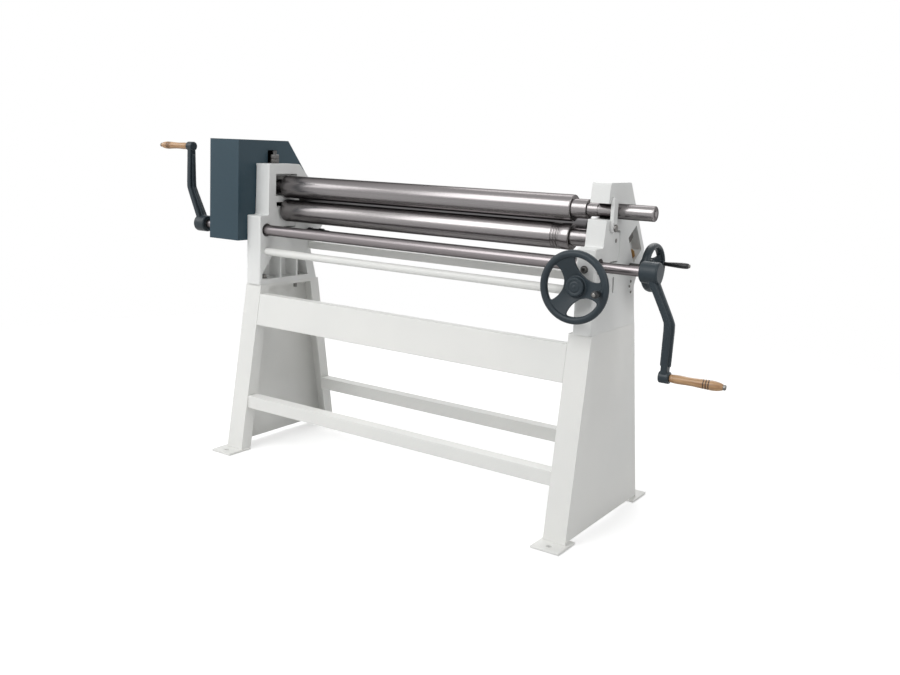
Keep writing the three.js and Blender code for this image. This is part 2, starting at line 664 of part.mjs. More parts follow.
/** The profile of a side frame's casting, as an outline in Y and Z. */
function frameOutline(towerFront, towerTopFront, towerRear, waist, footRear) {
  return outline([
    [-SHOULDER_FRONT, frameBase],
    [footRear, frameBase],
    [footRear - FOOT_DRAFT, frameBase + FOOT_FLANGE, FOOT_ROUND],
    [waist, frameBase + WAIST_ABOVE_BASE, WAIST_ROUND],
    [...slotPoint(-EAR_BELOW, EAR_REACH), EAR_ROUND],
    [...slotPoint(EAR_ABOVE, EAR_REACH), EAR_ROUND],
    [towerRear, frameTop, TOWER_ROUND],
    [-towerTopFront, frameTop, TOWER_ROUND],
    [-towerFront, shoulderHeight, TOWER_ROUND],
    [-SHOULDER_FRONT, shoulderHeight, SHOULDER_ROUND],
  ]);
}

/** The three pockets over a frame's foot, from the open face to the web. */
function footPockets(openFace, web, rear) {
  const low = frameBase + FOOT_FLANGE;
  const high = low + POCKET_HEIGHT;
  const [ribA, ribB] = POCKET_RIBS;
  const half = POCKET_RIB_THICKNESS / 2;
  const rearWall = rear - POCKET_REAR_WALL;
  const front = outline([
    [-POCKET_FRONT, low],
    [ribA - half, low],
    [ribA - half, high, POCKET_ROUND],
    [-POCKET_FRONT + POCKET_SLANT, high, POCKET_ROUND],
    [-POCKET_FRONT, high - POCKET_SLANT_HEIGHT, POCKET_ROUND],
  ]);
  const middle = outline([
    [ribA + half, low],
    [ribB - half, low],
    [ribB - half, high, POCKET_ROUND],
    [ribA + half, high, POCKET_ROUND],
  ]);
  const back = outline([
    [ribB + half, low],
    [rearWall, low],
    [rearWall - POCKET_REAR_SLANT, high, POCKET_ROUND],
    [ribB + half, high, POCKET_ROUND],
  ]);
  return [front, middle, back].map((shape) => prism("x", shape, openFace, web));
}

/** The slot of the rear block, from the inside face to the outer wall. */
function rearSlot(from, to) {
  const end = REAR_BLOCK_ALONG + RUN_GAP;
  const side = REAR_BLOCK_ACROSS + RUN_GAP;
  return prism("x", slotRectangle(-end - REAR_DROP, end + REAR_RISE, -side, side), from, to);
}

/** The cavity of a rear nut and its drum, and the bore below it for the screw's tail. */
function nutCavity(nutX, from, to, drumFrom, drumTo) {
  const side = nutTip + NUT_ROOM;
  const top = -REAR_BLOCK_ALONG - REAR_DROP;
  const hollow = prism("x", slotRectangle(-NUT_BELOW - nutReach, top, -side, side), from, to);
  const drum = bar("x", [drumFrom, crossY, crossZ], REAR_DRUM_RADIUS + REAR_DRUM_ROOM, drumTo - drumFrom);
  const tail = slotBar(nutX, -2 * EAR_BELOW, -NUT_BELOW, REAR_SCREW_RADIUS + REAR_SCREW_ROOM);
  return join(hollow, drum, tail);
}

/** The holes of the base bolts through a frame's foot. */
const boltHoles = (x) =>
  BOLT_PLACES.map((y) =>
    hole("z", [x, y, frameBase - OPEN], BOLT_RADIUS + RUN_GAP, FOOT_FLANGE + 2 * OPEN, SMALL),
  );

/** A bore along X right through a frame. */
const through = (from, thickness, y, z, radius, facets) =>
  hole("x", [from - OPEN, y, z], radius, thickness + 2 * OPEN, facets);

/** The upright slot of a lower bearing block, right through a frame. */
function blockSlot(from, to, half) {
  const side = half + RUN_GAP;
  return box(from - OPEN, to + OPEN, -side, side, slotLow, lowerRollHeight + SLOT_TOP);
}

function leftSideFrame() {
  const thickness = LEFT_FRAME_THICKNESS;
  const body = prism(
    "x",
    frameOutline(LEFT_TOWER_FRONT, LEFT_TOWER_FRONT, LEFT_TOWER_REAR, LEFT_WAIST, LEFT_FOOT_REAR),
    leftOuter,
    leftInner,
  );
  const lug = box(
    leftOuter - LUG_REACH,
    leftOuter + OPEN,
    -STUD_BEFORE - LUG_HALF,
    -STUD_BEFORE + LUG_HALF,
    upperRollHeight + rollGearTip + LUG_GAP,
    frameTop,
  );
  const sill = upperRollHeight - WINDOW_BELOW;
  const step = WINDOW_HALF - WINDOW_STEP;
  const window = outline([
    [-WINDOW_HALF, sill, WINDOW_ROUND],
    [step, sill, WINDOW_ROUND],
    [step, sill + WINDOW_STEP_HEIGHT],
    [WINDOW_HALF, sill + WINDOW_STEP_HEIGHT + WINDOW_SLANT_HEIGHT],
    [WINDOW_HALF, upperRollHeight + WINDOW_ABOVE, WINDOW_ROUND],
    [-WINDOW_HALF, upperRollHeight + WINDOW_ABOVE, WINDOW_ROUND],
  ]);
  const seat = UPPER_BLOCK_HALF + SEAT_GAP;
  const low = upperRollHeight - UPPER_BLOCK_BELOW - SEAT_GAP;
  const high = upperRollHeight + UPPER_BLOCK_ABOVE + SEAT_GAP;
  const windowBack = leftInner - WINDOW_DEPTH;
  const stud = [-STUD_OUTSIDE, -STUD_BEFORE, high - OPEN];
  const cam = CAM_RADIUS + CAM_THROW + CAM_ROOM;
  const nutEnd = leftNutX + nutTip + NUT_ROOM;
  return cut(
    body.add(lug),
    ...footPockets(leftInner + OPEN, leftOuter + POCKET_WEB, LEFT_WAIST),
    ...boltHoles(leftBoltX),
    prism("x", window, windowBack, leftInner + OPEN),
    box(leftOuter - OPEN, windowBack + OPEN, -seat, seat, low, high),
    hole("z", stud, STUD_RADIUS + RUN_GAP, frameTop + OPEN - stud[2], SMALL),
    blockSlot(leftOuter, leftInner, LEFT_BLOCK_HALF),
    box(leftOuter - OPEN, leftInner - MECHANISM_WALL, -cam, cam, liftHeight - cam, slotLow + OPEN),
    through(leftOuter, thickness, 0, liftHeight, liftHole, SMALL),
    through(leftOuter, thickness, -DRIVE_BEFORE, driveHeight, bushRadius + SEAT_GAP),
    rearSlot(leftOuter + REAR_WALL, leftInner + OPEN),
    nutCavity(leftNutX, leftOuter - OPEN, nutEnd, leftOuter - OPEN, leftNutX + drumReach),
    through(leftOuter, thickness, crossY, crossZ, crossHole, SMALL),
  );
}

function rightSideFrame() {
  const thickness = RIGHT_FRAME_THICKNESS;
  const body = prism(
    "x",
    frameOutline(RIGHT_TOWER_FRONT, RIGHT_TOWER_TOP_FRONT, RIGHT_TOWER_REAR, RIGHT_WAIST, RIGHT_FOOT_REAR),
    rightInner,
    rightOuter,
  );
  const yoke = new THREE.Shape();
  yoke.moveTo(-SHOULDER_FRONT, upperRollHeight - yokeHalf);
  yoke.lineTo(0, upperRollHeight - yokeHalf);
  yoke.absarc(0, upperRollHeight, yokeHalf, -Math.PI / 2, Math.PI / 2);
  yoke.lineTo(-SHOULDER_FRONT, upperRollHeight + yokeHalf);
  const wheelRoom = liftWheelTip + LIFT_WHEEL_ROOM;
  const cavityLow = liftWormHeight - LIFT_WORM_RADIUS - LIFT_WORM_ROOM;
  const open = rightInner - OPEN;
  const indicatorLow = liftWormHeight - INDICATOR_BELOW;
  const indicator = outline([
    [-INDICATOR_WIDTH / 2, indicatorLow, INDICATOR_ROUND],
    [INDICATOR_WIDTH / 2, indicatorLow, INDICATOR_ROUND],
    [INDICATOR_WIDTH / 2, indicatorLow + INDICATOR_HEIGHT, INDICATOR_ROUND],
    [-INDICATOR_WIDTH / 2, indicatorLow + INDICATOR_HEIGHT, INDICATOR_ROUND],
  ]);
  const windowShape = slotRectangle(
    crossWindow,
    REAR_WINDOW_TOP,
    -REAR_BLOCK_ACROSS,
    EAR_REACH - REAR_WINDOW_MARGIN,
    REAR_WINDOW_ROUND,
  );
  const frontShaft = [frontShaftX, -SHOULDER_FRONT - OPEN, liftWormHeight];
  const frontShaftEnd = liftWheelTip + FRONT_SHAFT_TAIL + OPEN;
  const nutFrom = rightNutX - nutTip - NUT_ROOM;
  return cut(
    body,
    ...footPockets(open, rightOuter - POCKET_WEB, RIGHT_WAIST),
    ...boltHoles(rightBoltX),
    prism("x", yoke, open, rightOuter + OPEN, ARC_STEPS),
    blockSlot(rightInner, rightOuter, RIGHT_BLOCK_HALF),
    box(open, mechanismWall, -wheelRoom, wheelRoom, cavityLow, liftHeight),
    bar("x", [open, 0, liftHeight], wheelRoom, mechanismWall - open, FINE),
    hole("x", [rightInner, 0, liftHeight], liftHole, thickness - LIFT_SHAFT_INSET + OPEN, SMALL),
    hole("y", frontShaft, FRONT_SHAFT_RADIUS + RUN_GAP, frontShaftEnd - frontShaft[1], SMALL),
    prism("x", indicator, mechanismWall - OPEN, rightOuter + OPEN),
    through(rightInner, thickness, -DRIVE_BEFORE, driveHeight, bushRadius + SEAT_GAP),
    rearSlot(open, rightOuter - REAR_WALL),
    nutCavity(rightNutX, nutFrom, rightOuter - NUT_WALL, rightNutX - drumReach, rightNutX + drumReach),
    prism("x", windowShape, rightNutX, rightOuter + OPEN),
    through(rightInner, thickness, crossY, crossZ, crossHole, SMALL),
    bar("x", [rightInner, -KEEPER_BEFORE, keeperPivot], KEEPER_PIN_RADIUS, thickness + OPEN, SMALL),
  );
}

piece("side_frame_left", materials.paint, leftSideFrame());
piece("side_frame_right", materials.paint, rightSideFrame());

// Rolls

/** A roll's solid: steps to the left of the barrel, the barrel and steps to the right. */
function roll(height, behind, left, right, grooves = []) {
  const start = -left.reduce((sum, step) => sum + step[1], 0);
  let along = start;
  const profile = [[0, start]];
  const add = (radius, length) => {
    profile.push([radius, along], [radius, along + length]);
    along += length;
  };
  left.forEach((step) => add(...step));
  profile.push([ROLL_RADIUS - BARREL_EDGE, 0], [ROLL_RADIUS, BARREL_EDGE]);
  for (const [centre, radius] of grooves) {
    for (let i = 0; i <= GROOVE_STEPS; i++) {
      const angle = (Math.PI * i) / GROOVE_STEPS;
      profile.push([ROLL_RADIUS - radius * Math.sin(angle), centre - radius * Math.cos(angle)]);
    }
  }
  profile.push([ROLL_RADIUS, BARREL_LENGTH - BARREL_EDGE], [ROLL_RADIUS - BARREL_EDGE, BARREL_LENGTH]);
  along = BARREL_LENGTH;
  right.forEach((step) => add(...step));
  profile.push([0, along]);
  return revolve("x", profile, [0, behind, height], FINE);
}

/** The left end of a driven roll, as far as its reach: the seat of the gears and the journal. */
const drivenEnd = (reach) => [
  [gearSeat, reach + leftOuter - DRIVEN_SHOULDER],
  [DRIVEN_JOURNAL_RADIUS, -leftOuter + DRIVEN_SHOULDER],
];

const upperLeft = drivenEnd(BULL_GEAR_START + BULL_GEAR_WIDTH + UPPER_END_BEYOND_GEAR);
const upperNeckEnd = BARREL_LENGTH + UPPER_NECK_LENGTH;
const upperRight = [
  [UPPER_NECK_RADIUS, UPPER_NECK_LENGTH],
  [JOURNAL_RADIUS, TAIL_GROOVE_AT - TAIL_GROOVE_WIDTH],
  [JOURNAL_RADIUS - TAIL_GROOVE_DEPTH, TAIL_GROOVE_WIDTH],
  [JOURNAL_RADIUS, rightOuter + TAIL_START - upperNeckEnd - TAIL_GROOVE_AT],
  [TAIL_RADIUS, TAIL_LENGTH],
];
piece("upper_roll", materials.steel, roll(upperRollHeight, 0, upperLeft, upperRight));

const lowerLeft = drivenEnd(ROLL_GEAR_START + ROLL_GEAR_WIDTH + LOWER_END_BEYOND_GEAR);
const lowerRight = [
  [LOWER_NECK_RADIUS, RIGHT_FRAME_GAP - NECK_GAP],
  [JOURNAL_RADIUS, RIGHT_FRAME_THICKNESS + NECK_GAP - LOWER_JOURNAL_INSET],
];
const grooves = WIRE_GROOVES.map((radius, i) => [
  BARREL_LENGTH - WIRE_GROOVE_START + i * WIRE_GROOVE_STEP,
  radius,
]);
piece("lower_roll", materials.steel, roll(lowerRollHeight, 0, lowerLeft, lowerRight, grooves));

const rearLeft = [[REAR_JOURNAL_RADIUS, -leftOuter - REAR_JOURNAL_INSET]];
const rearRight = [
  [LOWER_NECK_RADIUS, RIGHT_FRAME_GAP - NECK_GAP],
  [REAR_JOURNAL_RADIUS, RIGHT_FRAME_THICKNESS + NECK_GAP - REAR_JOURNAL_INSET],
];
piece("rear_roll", materials.steel, roll(rearRollHeight, REAR_ROLL_BEHIND, rearLeft, rearRight));

// Bearings

/** A lower roll's bearing block: upright, with rounded upper corners and a bore through or blind. */
function lowerBlock([x0, x1], half, above, [boreFrom, boreTo], radius) {
  const top = lowerRollHeight + above;
  const shape = outline([
    [-half, blockBottom, BLOCK_FOOT_ROUND],
    [half, blockBottom, BLOCK_FOOT_ROUND],
    [half, top, BLOCK_TOP_ROUND],
    [-half, top, BLOCK_TOP_ROUND],
  ]);
  const bore = hole("x", [boreFrom, 0, lowerRollHeight], radius + RUN_GAP, boreTo - boreFrom);
  return prism("x", shape, x0, x1).subtract(bore);
}

const leftBlock = [leftOuter + BLOCK_INSET, leftInner - BLOCK_INSET];
const rightBlock = [rightInner + BLOCK_INSET, rightOuter - BLOCK_INSET];
const rightBore = [rightInner, rightOuter - LOWER_JOURNAL_INSET + OPEN];
const wheelRelief = box(
  liftWheelX - RELIEF_GAP,
  liftWheelX + LIFT_WHEEL_WIDTH + RELIEF_GAP,
  -RIGHT_BLOCK_HALF - OPEN,
  RIGHT_BLOCK_HALF + OPEN,
  blockBottom - OPEN,
  liftHeight + liftWheelTip + LIFT_TRAVEL + OPEN,
);
piece(
  "lower_bearing_left",
  materials.paint,
  lowerBlock(leftBlock, LEFT_BLOCK_HALF, LEFT_BLOCK_TOP, [leftOuter, 0], DRIVEN_JOURNAL_RADIUS),
);
piece(
  "lower_bearing_right",
  materials.paint,
  lowerBlock(rightBlock, RIGHT_BLOCK_HALF, RIGHT_BLOCK_TOP, rightBore, JOURNAL_RADIUS).subtract(wheelRelief),
);

/** A rear roll's bearing block, in the slot's own lean. */
function rearBlock([x0, x1], boreFrom, boreTo) {
  const shape = slotRectangle(
    -REAR_BLOCK_ALONG,
    REAR_BLOCK_ALONG,
    -REAR_BLOCK_ACROSS,
    REAR_BLOCK_ACROSS,
    REAR_BLOCK_ROUND,
  );
  const boreStart = [boreFrom, REAR_ROLL_BEHIND, rearRollHeight];
  const bore = hole("x", boreStart, REAR_JOURNAL_RADIUS + RUN_GAP, boreTo - boreFrom);
  return prism("x", shape, x0, x1).subtract(bore);
}

/** The screw of a rear block, from its socket in the block down through the nut. */
function rearScrew(x) {
  const low = -NUT_BELOW - NUT_WIDTH / 2 - REAR_RISE - REAR_SCREW_SPARE;
  return slotBar(x, low, -REAR_BLOCK_ALONG - SEAT_GAP, REAR_SCREW_RADIUS);
}

const rearLeftBlock = [leftOuter + REAR_WALL + SEAT_GAP, leftInner - BLOCK_INSET];
const rearRightBlock = [rightInner + BLOCK_INSET, rightOuter - REAR_WALL - SEAT_GAP];
const rearLeftSolid = rearBlock(rearLeftBlock, rearLeftBlock[0] + REAR_BLOCK_WALL, leftInner);
const rearRightSolid = rearBlock(rearRightBlock, rightInner, rearRightBlock[1] - REAR_BLOCK_WALL);
piece("rear_bearing_left", materials.dark, rearLeftSolid);
piece("rear_bearing_right", materials.dark, rearRightSolid);
piece("rear_screw_left", materials.steel, rearScrew(leftNutX));
piece("rear_screw_right", materials.steel, rearScrew(rightNutX));

const upperBlock = cut(
  box(
    leftOuter + BLOCK_INSET,
    leftInner - WINDOW_DEPTH - BEARING_INSET,
    -UPPER_BLOCK_HALF,
    UPPER_BLOCK_HALF,
    upperRollHeight - UPPER_BLOCK_BELOW,
    upperRollHeight + UPPER_BLOCK_ABOVE,
  ),
  hole("x", [leftOuter, 0, upperRollHeight], DRIVEN_JOURNAL_RADIUS + RUN_GAP, LEFT_FRAME_THICKNESS),
);
piece("upper_bearing_left", materials.dark, upperBlock);

/** The bearing shell of the open yoke: a half bush whose legs reach to the front. */
function yokeShell() {
  const outer = yokeHalf - SEAT_GAP;
  const inner = bored(JOURNAL_RADIUS + RUN_GAP, 4 * ARC_STEPS);
  const shape = new THREE.Shape();
  shape.moveTo(-SHELL_REACH, upperRollHeight - outer);
  shape.absarc(0, upperRollHeight, outer, -Math.PI / 2, Math.PI / 2);
  shape.lineTo(-SHELL_REACH, upperRollHeight + outer);
  shape.lineTo(-SHELL_REACH, upperRollHeight + inner);
  shape.absarc(0, upperRollHeight, inner, Math.PI / 2, -Math.PI / 2, true);
  shape.lineTo(-SHELL_REACH, upperRollHeight - inner);
  return prism("x", shape, rightInner + BEARING_INSET, rightOuter - BEARING_INSET, ARC_STEPS);
}
piece("upper_bearing_right", materials.bronze, yokeShell());

// Keeper that closes the yoke, on a pin in the frame
const keeperFrom = rightOuter + SEAT_GAP;
const keeperShape = outline([
  [-KEEPER_BEFORE - KEEPER_WIDTH / 2, keeperPivot - KEEPER_WIDTH / 2, KEEPER_FOOT_ROUND],
  [-KEEPER_BEFORE + KEEPER_WIDTH / 2, keeperPivot - KEEPER_WIDTH / 2, KEEPER_FOOT_ROUND],
  [-KEEPER_BEFORE + KEEPER_WIDTH / 2, upperRollHeight + KEEPER_RISE, KEEPER_TOP_ROUND],
  [-KEEPER_BEFORE - KEEPER_WIDTH / 2, upperRollHeight + KEEPER_RISE, KEEPER_TOP_ROUND],
]);
const keeperHole = [keeperFrom - OPEN, -KEEPER_BEFORE, keeperPivot];
piece(
  "yoke_keeper",
  materials.paint,
  cut(
    prism("x", keeperShape, keeperFrom, keeperFrom + KEEPER_THICKNESS),
    hole("x", keeperHole, KEEPER_PIN_RADIUS + RUN_GAP, KEEPER_THICKNESS + 2 * OPEN, SMALL),
  ),
);
const keeperPinLength = rightOuter - rightInner - KEEPER_PIN_INSET + KEEPER_THICKNESS + 2 * SEAT_GAP;
piece(
  "keeper_pin",
  materials.steel,
  stepped(
    "x",
    [rightInner + KEEPER_PIN_INSET, -KEEPER_BEFORE, keeperPivot],
    [[KEEPER_PIN_RADIUS - SEAT_GAP, keeperPinLength], KEEPER_PIN_HEAD],
    SMALL,
  ),
);

// Gear train
const bullX = -BULL_GEAR_START - BULL_GEAR_WIDTH;
const rollGearX = -ROLL_GEAR_START - ROLL_GEAR_WIDTH;
const towardsBull = THREE.MathUtils.radToDeg(Math.atan2(upperRollHeight - driveHeight, DRIVE_BEFORE));

/** The large gear of the upper roll: a rim and a hub on a thinner web with round windows. */
function bullGear() {
  const direction = towardsBull + 180 + 180 / BULL_GEAR_TEETH;
  const blank = gear(
    gearShape(BULL_GEAR_TEETH, { module: GEAR_MODULE, direction }),
    bullX,
    BULL_GEAR_WIDTH,
    0,
    upperRollHeight,
    gearSeat + SEAT_GAP,
  );
  const rimInside = bullPitch - DEDENDUM * GEAR_MODULE - BULL_RIM;
  const recess = (BULL_GEAR_WIDTH - BULL_WEB) / 2;
  const ring = (from) =>
    revolve(
      "x",
      [
        [BULL_HUB_RADIUS, from],
        [rimInside, from],
        [rimInside, from + recess + OPEN],
        [BULL_HUB_RADIUS, from + recess + OPEN],
      ],
      [0, 0, upperRollHeight],
      FINE,
    );
  const holes = [];
  for (let i = 0; i < BULL_HOLES; i++) {
    const angle = (2 * Math.PI * i) / BULL_HOLES;
    const reach = (BULL_HUB_RADIUS + rimInside) / 2;
    const at = [bullX - OPEN, reach * Math.cos(angle), upperRollHeight + reach * Math.sin(angle)];
    holes.push(hole("x", at, BULL_HOLE_RADIUS, BULL_GEAR_WIDTH + 2 * OPEN, SMALL));
  }
  return cut(blank, ring(bullX - OPEN), ring(bullX + BULL_GEAR_WIDTH - recess), ...holes);
}
piece("large_gear", materials.dark, bullGear());

piece(
  "drive_pinion",
  materials.dark,
  gear(
    gearShape(PINION_TEETH, { module: GEAR_MODULE, direction: towardsBull, steps: 3 }),
    bullX - PINION_OVERHANG,
    BULL_GEAR_WIDTH + 2 * PINION_OVERHANG,
    -DRIVE_BEFORE,
    driveHeight,
    DRIVE_RADIUS + SEAT_GAP,
  ),
);

const rollGearForm = {
  module: GEAR_MODULE,
  tip: rollGearTip,
  root: ROLL_RADIUS - ROLL_GEAR_DEDENDUM,
  thinning: ROLL_GEAR_THINNING,
  steps: 3,
};
const upperGearShape = gearShape(ROLL_GEAR_TEETH, { ...rollGearForm, direction: -90 });
const lowerGearShape = gearShape(ROLL_GEAR_TEETH, { ...rollGearForm, direction: 90 + 180 / ROLL_GEAR_TEETH });
const rollGear = (shape, height) => gear(shape, rollGearX, ROLL_GEAR_WIDTH, 0, height, gearSeat + SEAT_GAP);
piece("upper_roll_gear", materials.dark, rollGear(upperGearShape, upperRollHeight));
piece("lower_roll_gear", materials.dark, rollGear(lowerGearShape, lowerRollHeight));

// Drive shaft, bushes and cranks
const rightHubX = rightOuter + RIGHT_CRANK_REACH;
const leftHubX = leftOuter - LEFT_CRANK_REACH;
const driveSteps = [
  [DRIVE_END_RADIUS, CRANK_HUB_LENGTH + DRIVE_LEFT_STEP],
  [DRIVE_RADIUS, rightOuter + DRIVE_RIGHT_STEP - leftHubX - DRIVE_LEFT_STEP],
  [DRIVE_END_RADIUS, rightHubX + CRANK_HUB_LENGTH - rightOuter - DRIVE_RIGHT_STEP],
];
piece(
  "drive_shaft",
  materials.steel,
  stepped("x", [leftHubX - CRANK_HUB_LENGTH, -DRIVE_BEFORE, driveHeight], driveSteps),
);

/** A plain bush of the drive shaft. */
function bush(x0, x1) {
  const length = x1 - x0;
  const bore = hole("x", [x0 - OPEN, -DRIVE_BEFORE, driveHeight], DRIVE_RADIUS + RUN_GAP, length + 2 * OPEN);
  return bar("x", [x0, -DRIVE_BEFORE, driveHeight], bushRadius, length).subtract(bore);
}
piece("shaft_bush_left", materials.bronze, bush(leftOuter + BUSH_INSET, leftInner - BUSH_INSET));
piece("shaft_bush_right", materials.bronze, bush(rightInner + BUSH_INSET, rightOuter - BUSH_INSET));

const crankOutward = CRANK_HUB_LENGTH / 2 + CRANK_OFFSET;
const bossX = crankOutward - CRANK_BOSS_INSET + CRANK_BOSS_LENGTH;

/** A cast crank with its hub's inner face at x = 0, its arm hanging along -Z and its outside towards +X. */
function crank() {
  const hubMiddle = CRANK_HUB_LENGTH / 2;
  const bend = crankOutward - CRANK_SET;
  const side = (shift) =>
    outline([
      [hubMiddle - CRANK_ARM_DEPTH / 2 + shift, 0],
      [hubMiddle + CRANK_ARM_DEPTH / 2 + shift, 0],
      [bend + CRANK_ARM_DEPTH + shift, -CRANK_BEND, CRANK_BEND_ROUND],
      [crankOutward + CRANK_ARM_DEPTH + shift, -CRANK_THROW],
      [crankOutward + shift, -CRANK_THROW],
      [bend + shift, -CRANK_BEND, CRANK_BEND_ROUND],
    ]);
  const half = CRANK_ARM_WIDTH / 2;
  const root = half + CRANK_ARM_FLARE;
  const front = outline([
    [-root, 0],
    [root, 0],
    [half, -CRANK_BEND],
    [half - CRANK_ARM_TAPER, -CRANK_THROW],
    [-half + CRANK_ARM_TAPER, -CRANK_THROW],
    [-half, -CRANK_BEND],
  ]);
  const flat = prism("y", side(0), -root - OPEN, root + OPEN);
  const arm = flat.intersect(prism("x", front, 0, crankOutward + 2 * CRANK_ARM_DEPTH));
  const rib = prism("y", side(CRANK_RIB), -CRANK_RIB, CRANK_RIB);
  const [chamfer, reach] = CRANK_HUB_EDGE;
  const hub = revolve(
    "x",
    [
      [0, 0],
      [CRANK_HUB_RADIUS - chamfer, 0],
      [CRANK_HUB_RADIUS, reach],
      [CRANK_HUB_RADIUS, CRANK_HUB_LENGTH - reach],
      [CRANK_HUB_RADIUS - chamfer, CRANK_HUB_LENGTH],
      [0, CRANK_HUB_LENGTH],
    ],
    [0, 0, 0],
    MEDIUM,
  );
  const bossStart = bossX - CRANK_BOSS_LENGTH;
  const boss = bar("x", [bossStart, 0, -CRANK_THROW], CRANK_BOSS_RADIUS, CRANK_BOSS_LENGTH);
  const bore = hole("x", [-OPEN, 0, 0], DRIVE_END_RADIUS + SEAT_GAP, CRANK_HUB_LENGTH + 2 * OPEN);
  const pin = hole(
    "x",
    [bossStart - OPEN, 0, -CRANK_THROW],
    SPINDLE_RADIUS + SEAT_GAP,
    CRANK_BOSS_LENGTH + 2 * OPEN,
    SMALL,
  );
  return cut(join(arm, rib, hub, boss), bore, pin);
}

/** The steel spindle of a grip, with the head that keeps the grip on. */
function gripSpindle() {
  const start = [bossX - CRANK_BOSS_LENGTH, 0, -CRANK_THROW];
  const length = CRANK_BOSS_LENGTH + GRIP_LENGTH + 2 * SEAT_GAP;
  return stepped("x", start, [[SPINDLE_RADIUS, length], SPINDLE_HEAD, SPINDLE_TIP], SMALL);
}

/** A turned wooden grip with the bore for its spindle. */
function grip() {
  const bore = bored(SPINDLE_RADIUS + RUN_GAP);
  const turned = GRIP_FORM.map(([along, radius]) => [radius * GRIP_RADIUS, along * GRIP_LENGTH]);
  const profile = [[bore, 0], ...turned, [bore, GRIP_LENGTH]];
  return revolve("x", profile, [bossX + SEAT_GAP, 0, -CRANK_THROW], MEDIUM);
}

/** Places the three pieces of one crank: the right one hangs, the left one is the same turned round. */
function addCrank(side, x, turn) {
  const pieces = [
    piece(`crank_${side}`, materials.casting, crank()),
    piece(`grip_spindle_${side}`, materials.steel, gripSpindle()),
    piece(`grip_${side}`, materials.wood, grip()),
  ];
  for (const mesh of pieces) {
    mesh.rotation.set(rad(CRANK_ANGLE), 0, 0);
    mesh.rotateY(rad(turn));
    mesh.position.set(x, -DRIVE_BEFORE, driveHeight);
  }
}
addCrank("right", rightHubX, 0);
addCrank("left", leftHubX, 180);

// Lift of the lower roll: shaft, eccentrics and worm wheel, and the worm that turns it
const leftCamX = leftInner - MECHANISM_WALL - LEFT_CAM_GAP - CAM_WIDTH;
const rightCamX = rightInner + RIGHT_CAM_GAP;
const liftStart = leftCamX - LIFT_SHAFT_OVERHANG;
const liftLength = rightOuter - LIFT_SHAFT_INSET - liftStart;

/** An eccentric whose throw lies level at rest, so that it lifts by the sine of the shaft's angle. */
const cam = (x) => bar("x", [x, CAM_THROW, liftHeight], CAM_RADIUS, CAM_WIDTH);
const plainLiftShaft = bar("x", [liftStart, 0, liftHeight], LIFT_SHAFT_RADIUS, liftLength, SMALL);
piece("lift_shaft", materials.steel, join(plainLiftShaft, cam(leftCamX), cam(rightCamX)));

/** The worm wheel of the lift shaft: its teeth follow the worm's helix across their width. */
function liftWheel() {
  const shape = gearShape(LIFT_TEETH, {
    module: LIFT_MODULE,
    direction: -90 + 180 / LIFT_TEETH,
    root: (LIFT_TEETH / 2 - SHALLOW_ROOT) * LIFT_MODULE,
  });
  const depth = LIFT_WHEEL_WIDTH;
  const geometry = new THREE.ExtrudeGeometry(shape, { depth, bevelEnabled: false, curveSegments: 1 });
  const position = geometry.getAttribute("position");
  const point = new THREE.Vector3();
  const twist = -(LIFT_MODULE / 2 / LIFT_WORM_RADIUS) / liftWheelPitch;
  for (let i = 0; i < position.count; i++) {
    point.fromBufferAttribute(position, i).applyAxisAngle(Z, twist * (position.getZ(i) - depth / 2));
    position.setXYZ(i, point.x, point.y, point.z);
  }
  geometry.applyMatrix4(SKETCH_PLANES.x);
  geometry.translate(liftWheelX, 0, liftHeight);
  const bore = [liftWheelX - OPEN, 0, liftHeight];
  return solid(geometry).subtract(hole("x", bore, LIFT_SHAFT_RADIUS + SEAT_GAP, depth + 2 * OPEN, SMALL));
}
piece("lift_worm_wheel", materials.bronze, liftWheel());

const frontRimY = -SHOULDER_FRONT - FRONT_WHEEL_REACH;
const frontShaftStart = frontRimY + WHEEL_DISH - WHEEL_HUB_LENGTH / 2;
const wormRoot = LIFT_WORM_RADIUS - DEDENDUM * LIFT_MODULE;
const wormBlank = stepped(
  "y",
  [frontShaftX, frontShaftStart, liftWormHeight],
  [
    [FRONT_SHAFT_RADIUS, -frontShaftStart - liftWheelTip],
    [wormRoot, 2 * liftWheelTip],
    [FRONT_SHAFT_RADIUS, FRONT_SHAFT_TAIL],
  ],
);
const liftThread = wormThread([frontShaftX, 0, liftWormHeight], {
  module: LIFT_MODULE,
  pitchRadius: LIFT_WORM_RADIUS,
  addendum: LIFT_WORM_ADDENDUM,
  root: wormRoot,
  length: LIFT_WORM_LENGTH,
});
piece("front_wheel_shaft", materials.steel, wormBlank.add(liftThread));

// Handwheels

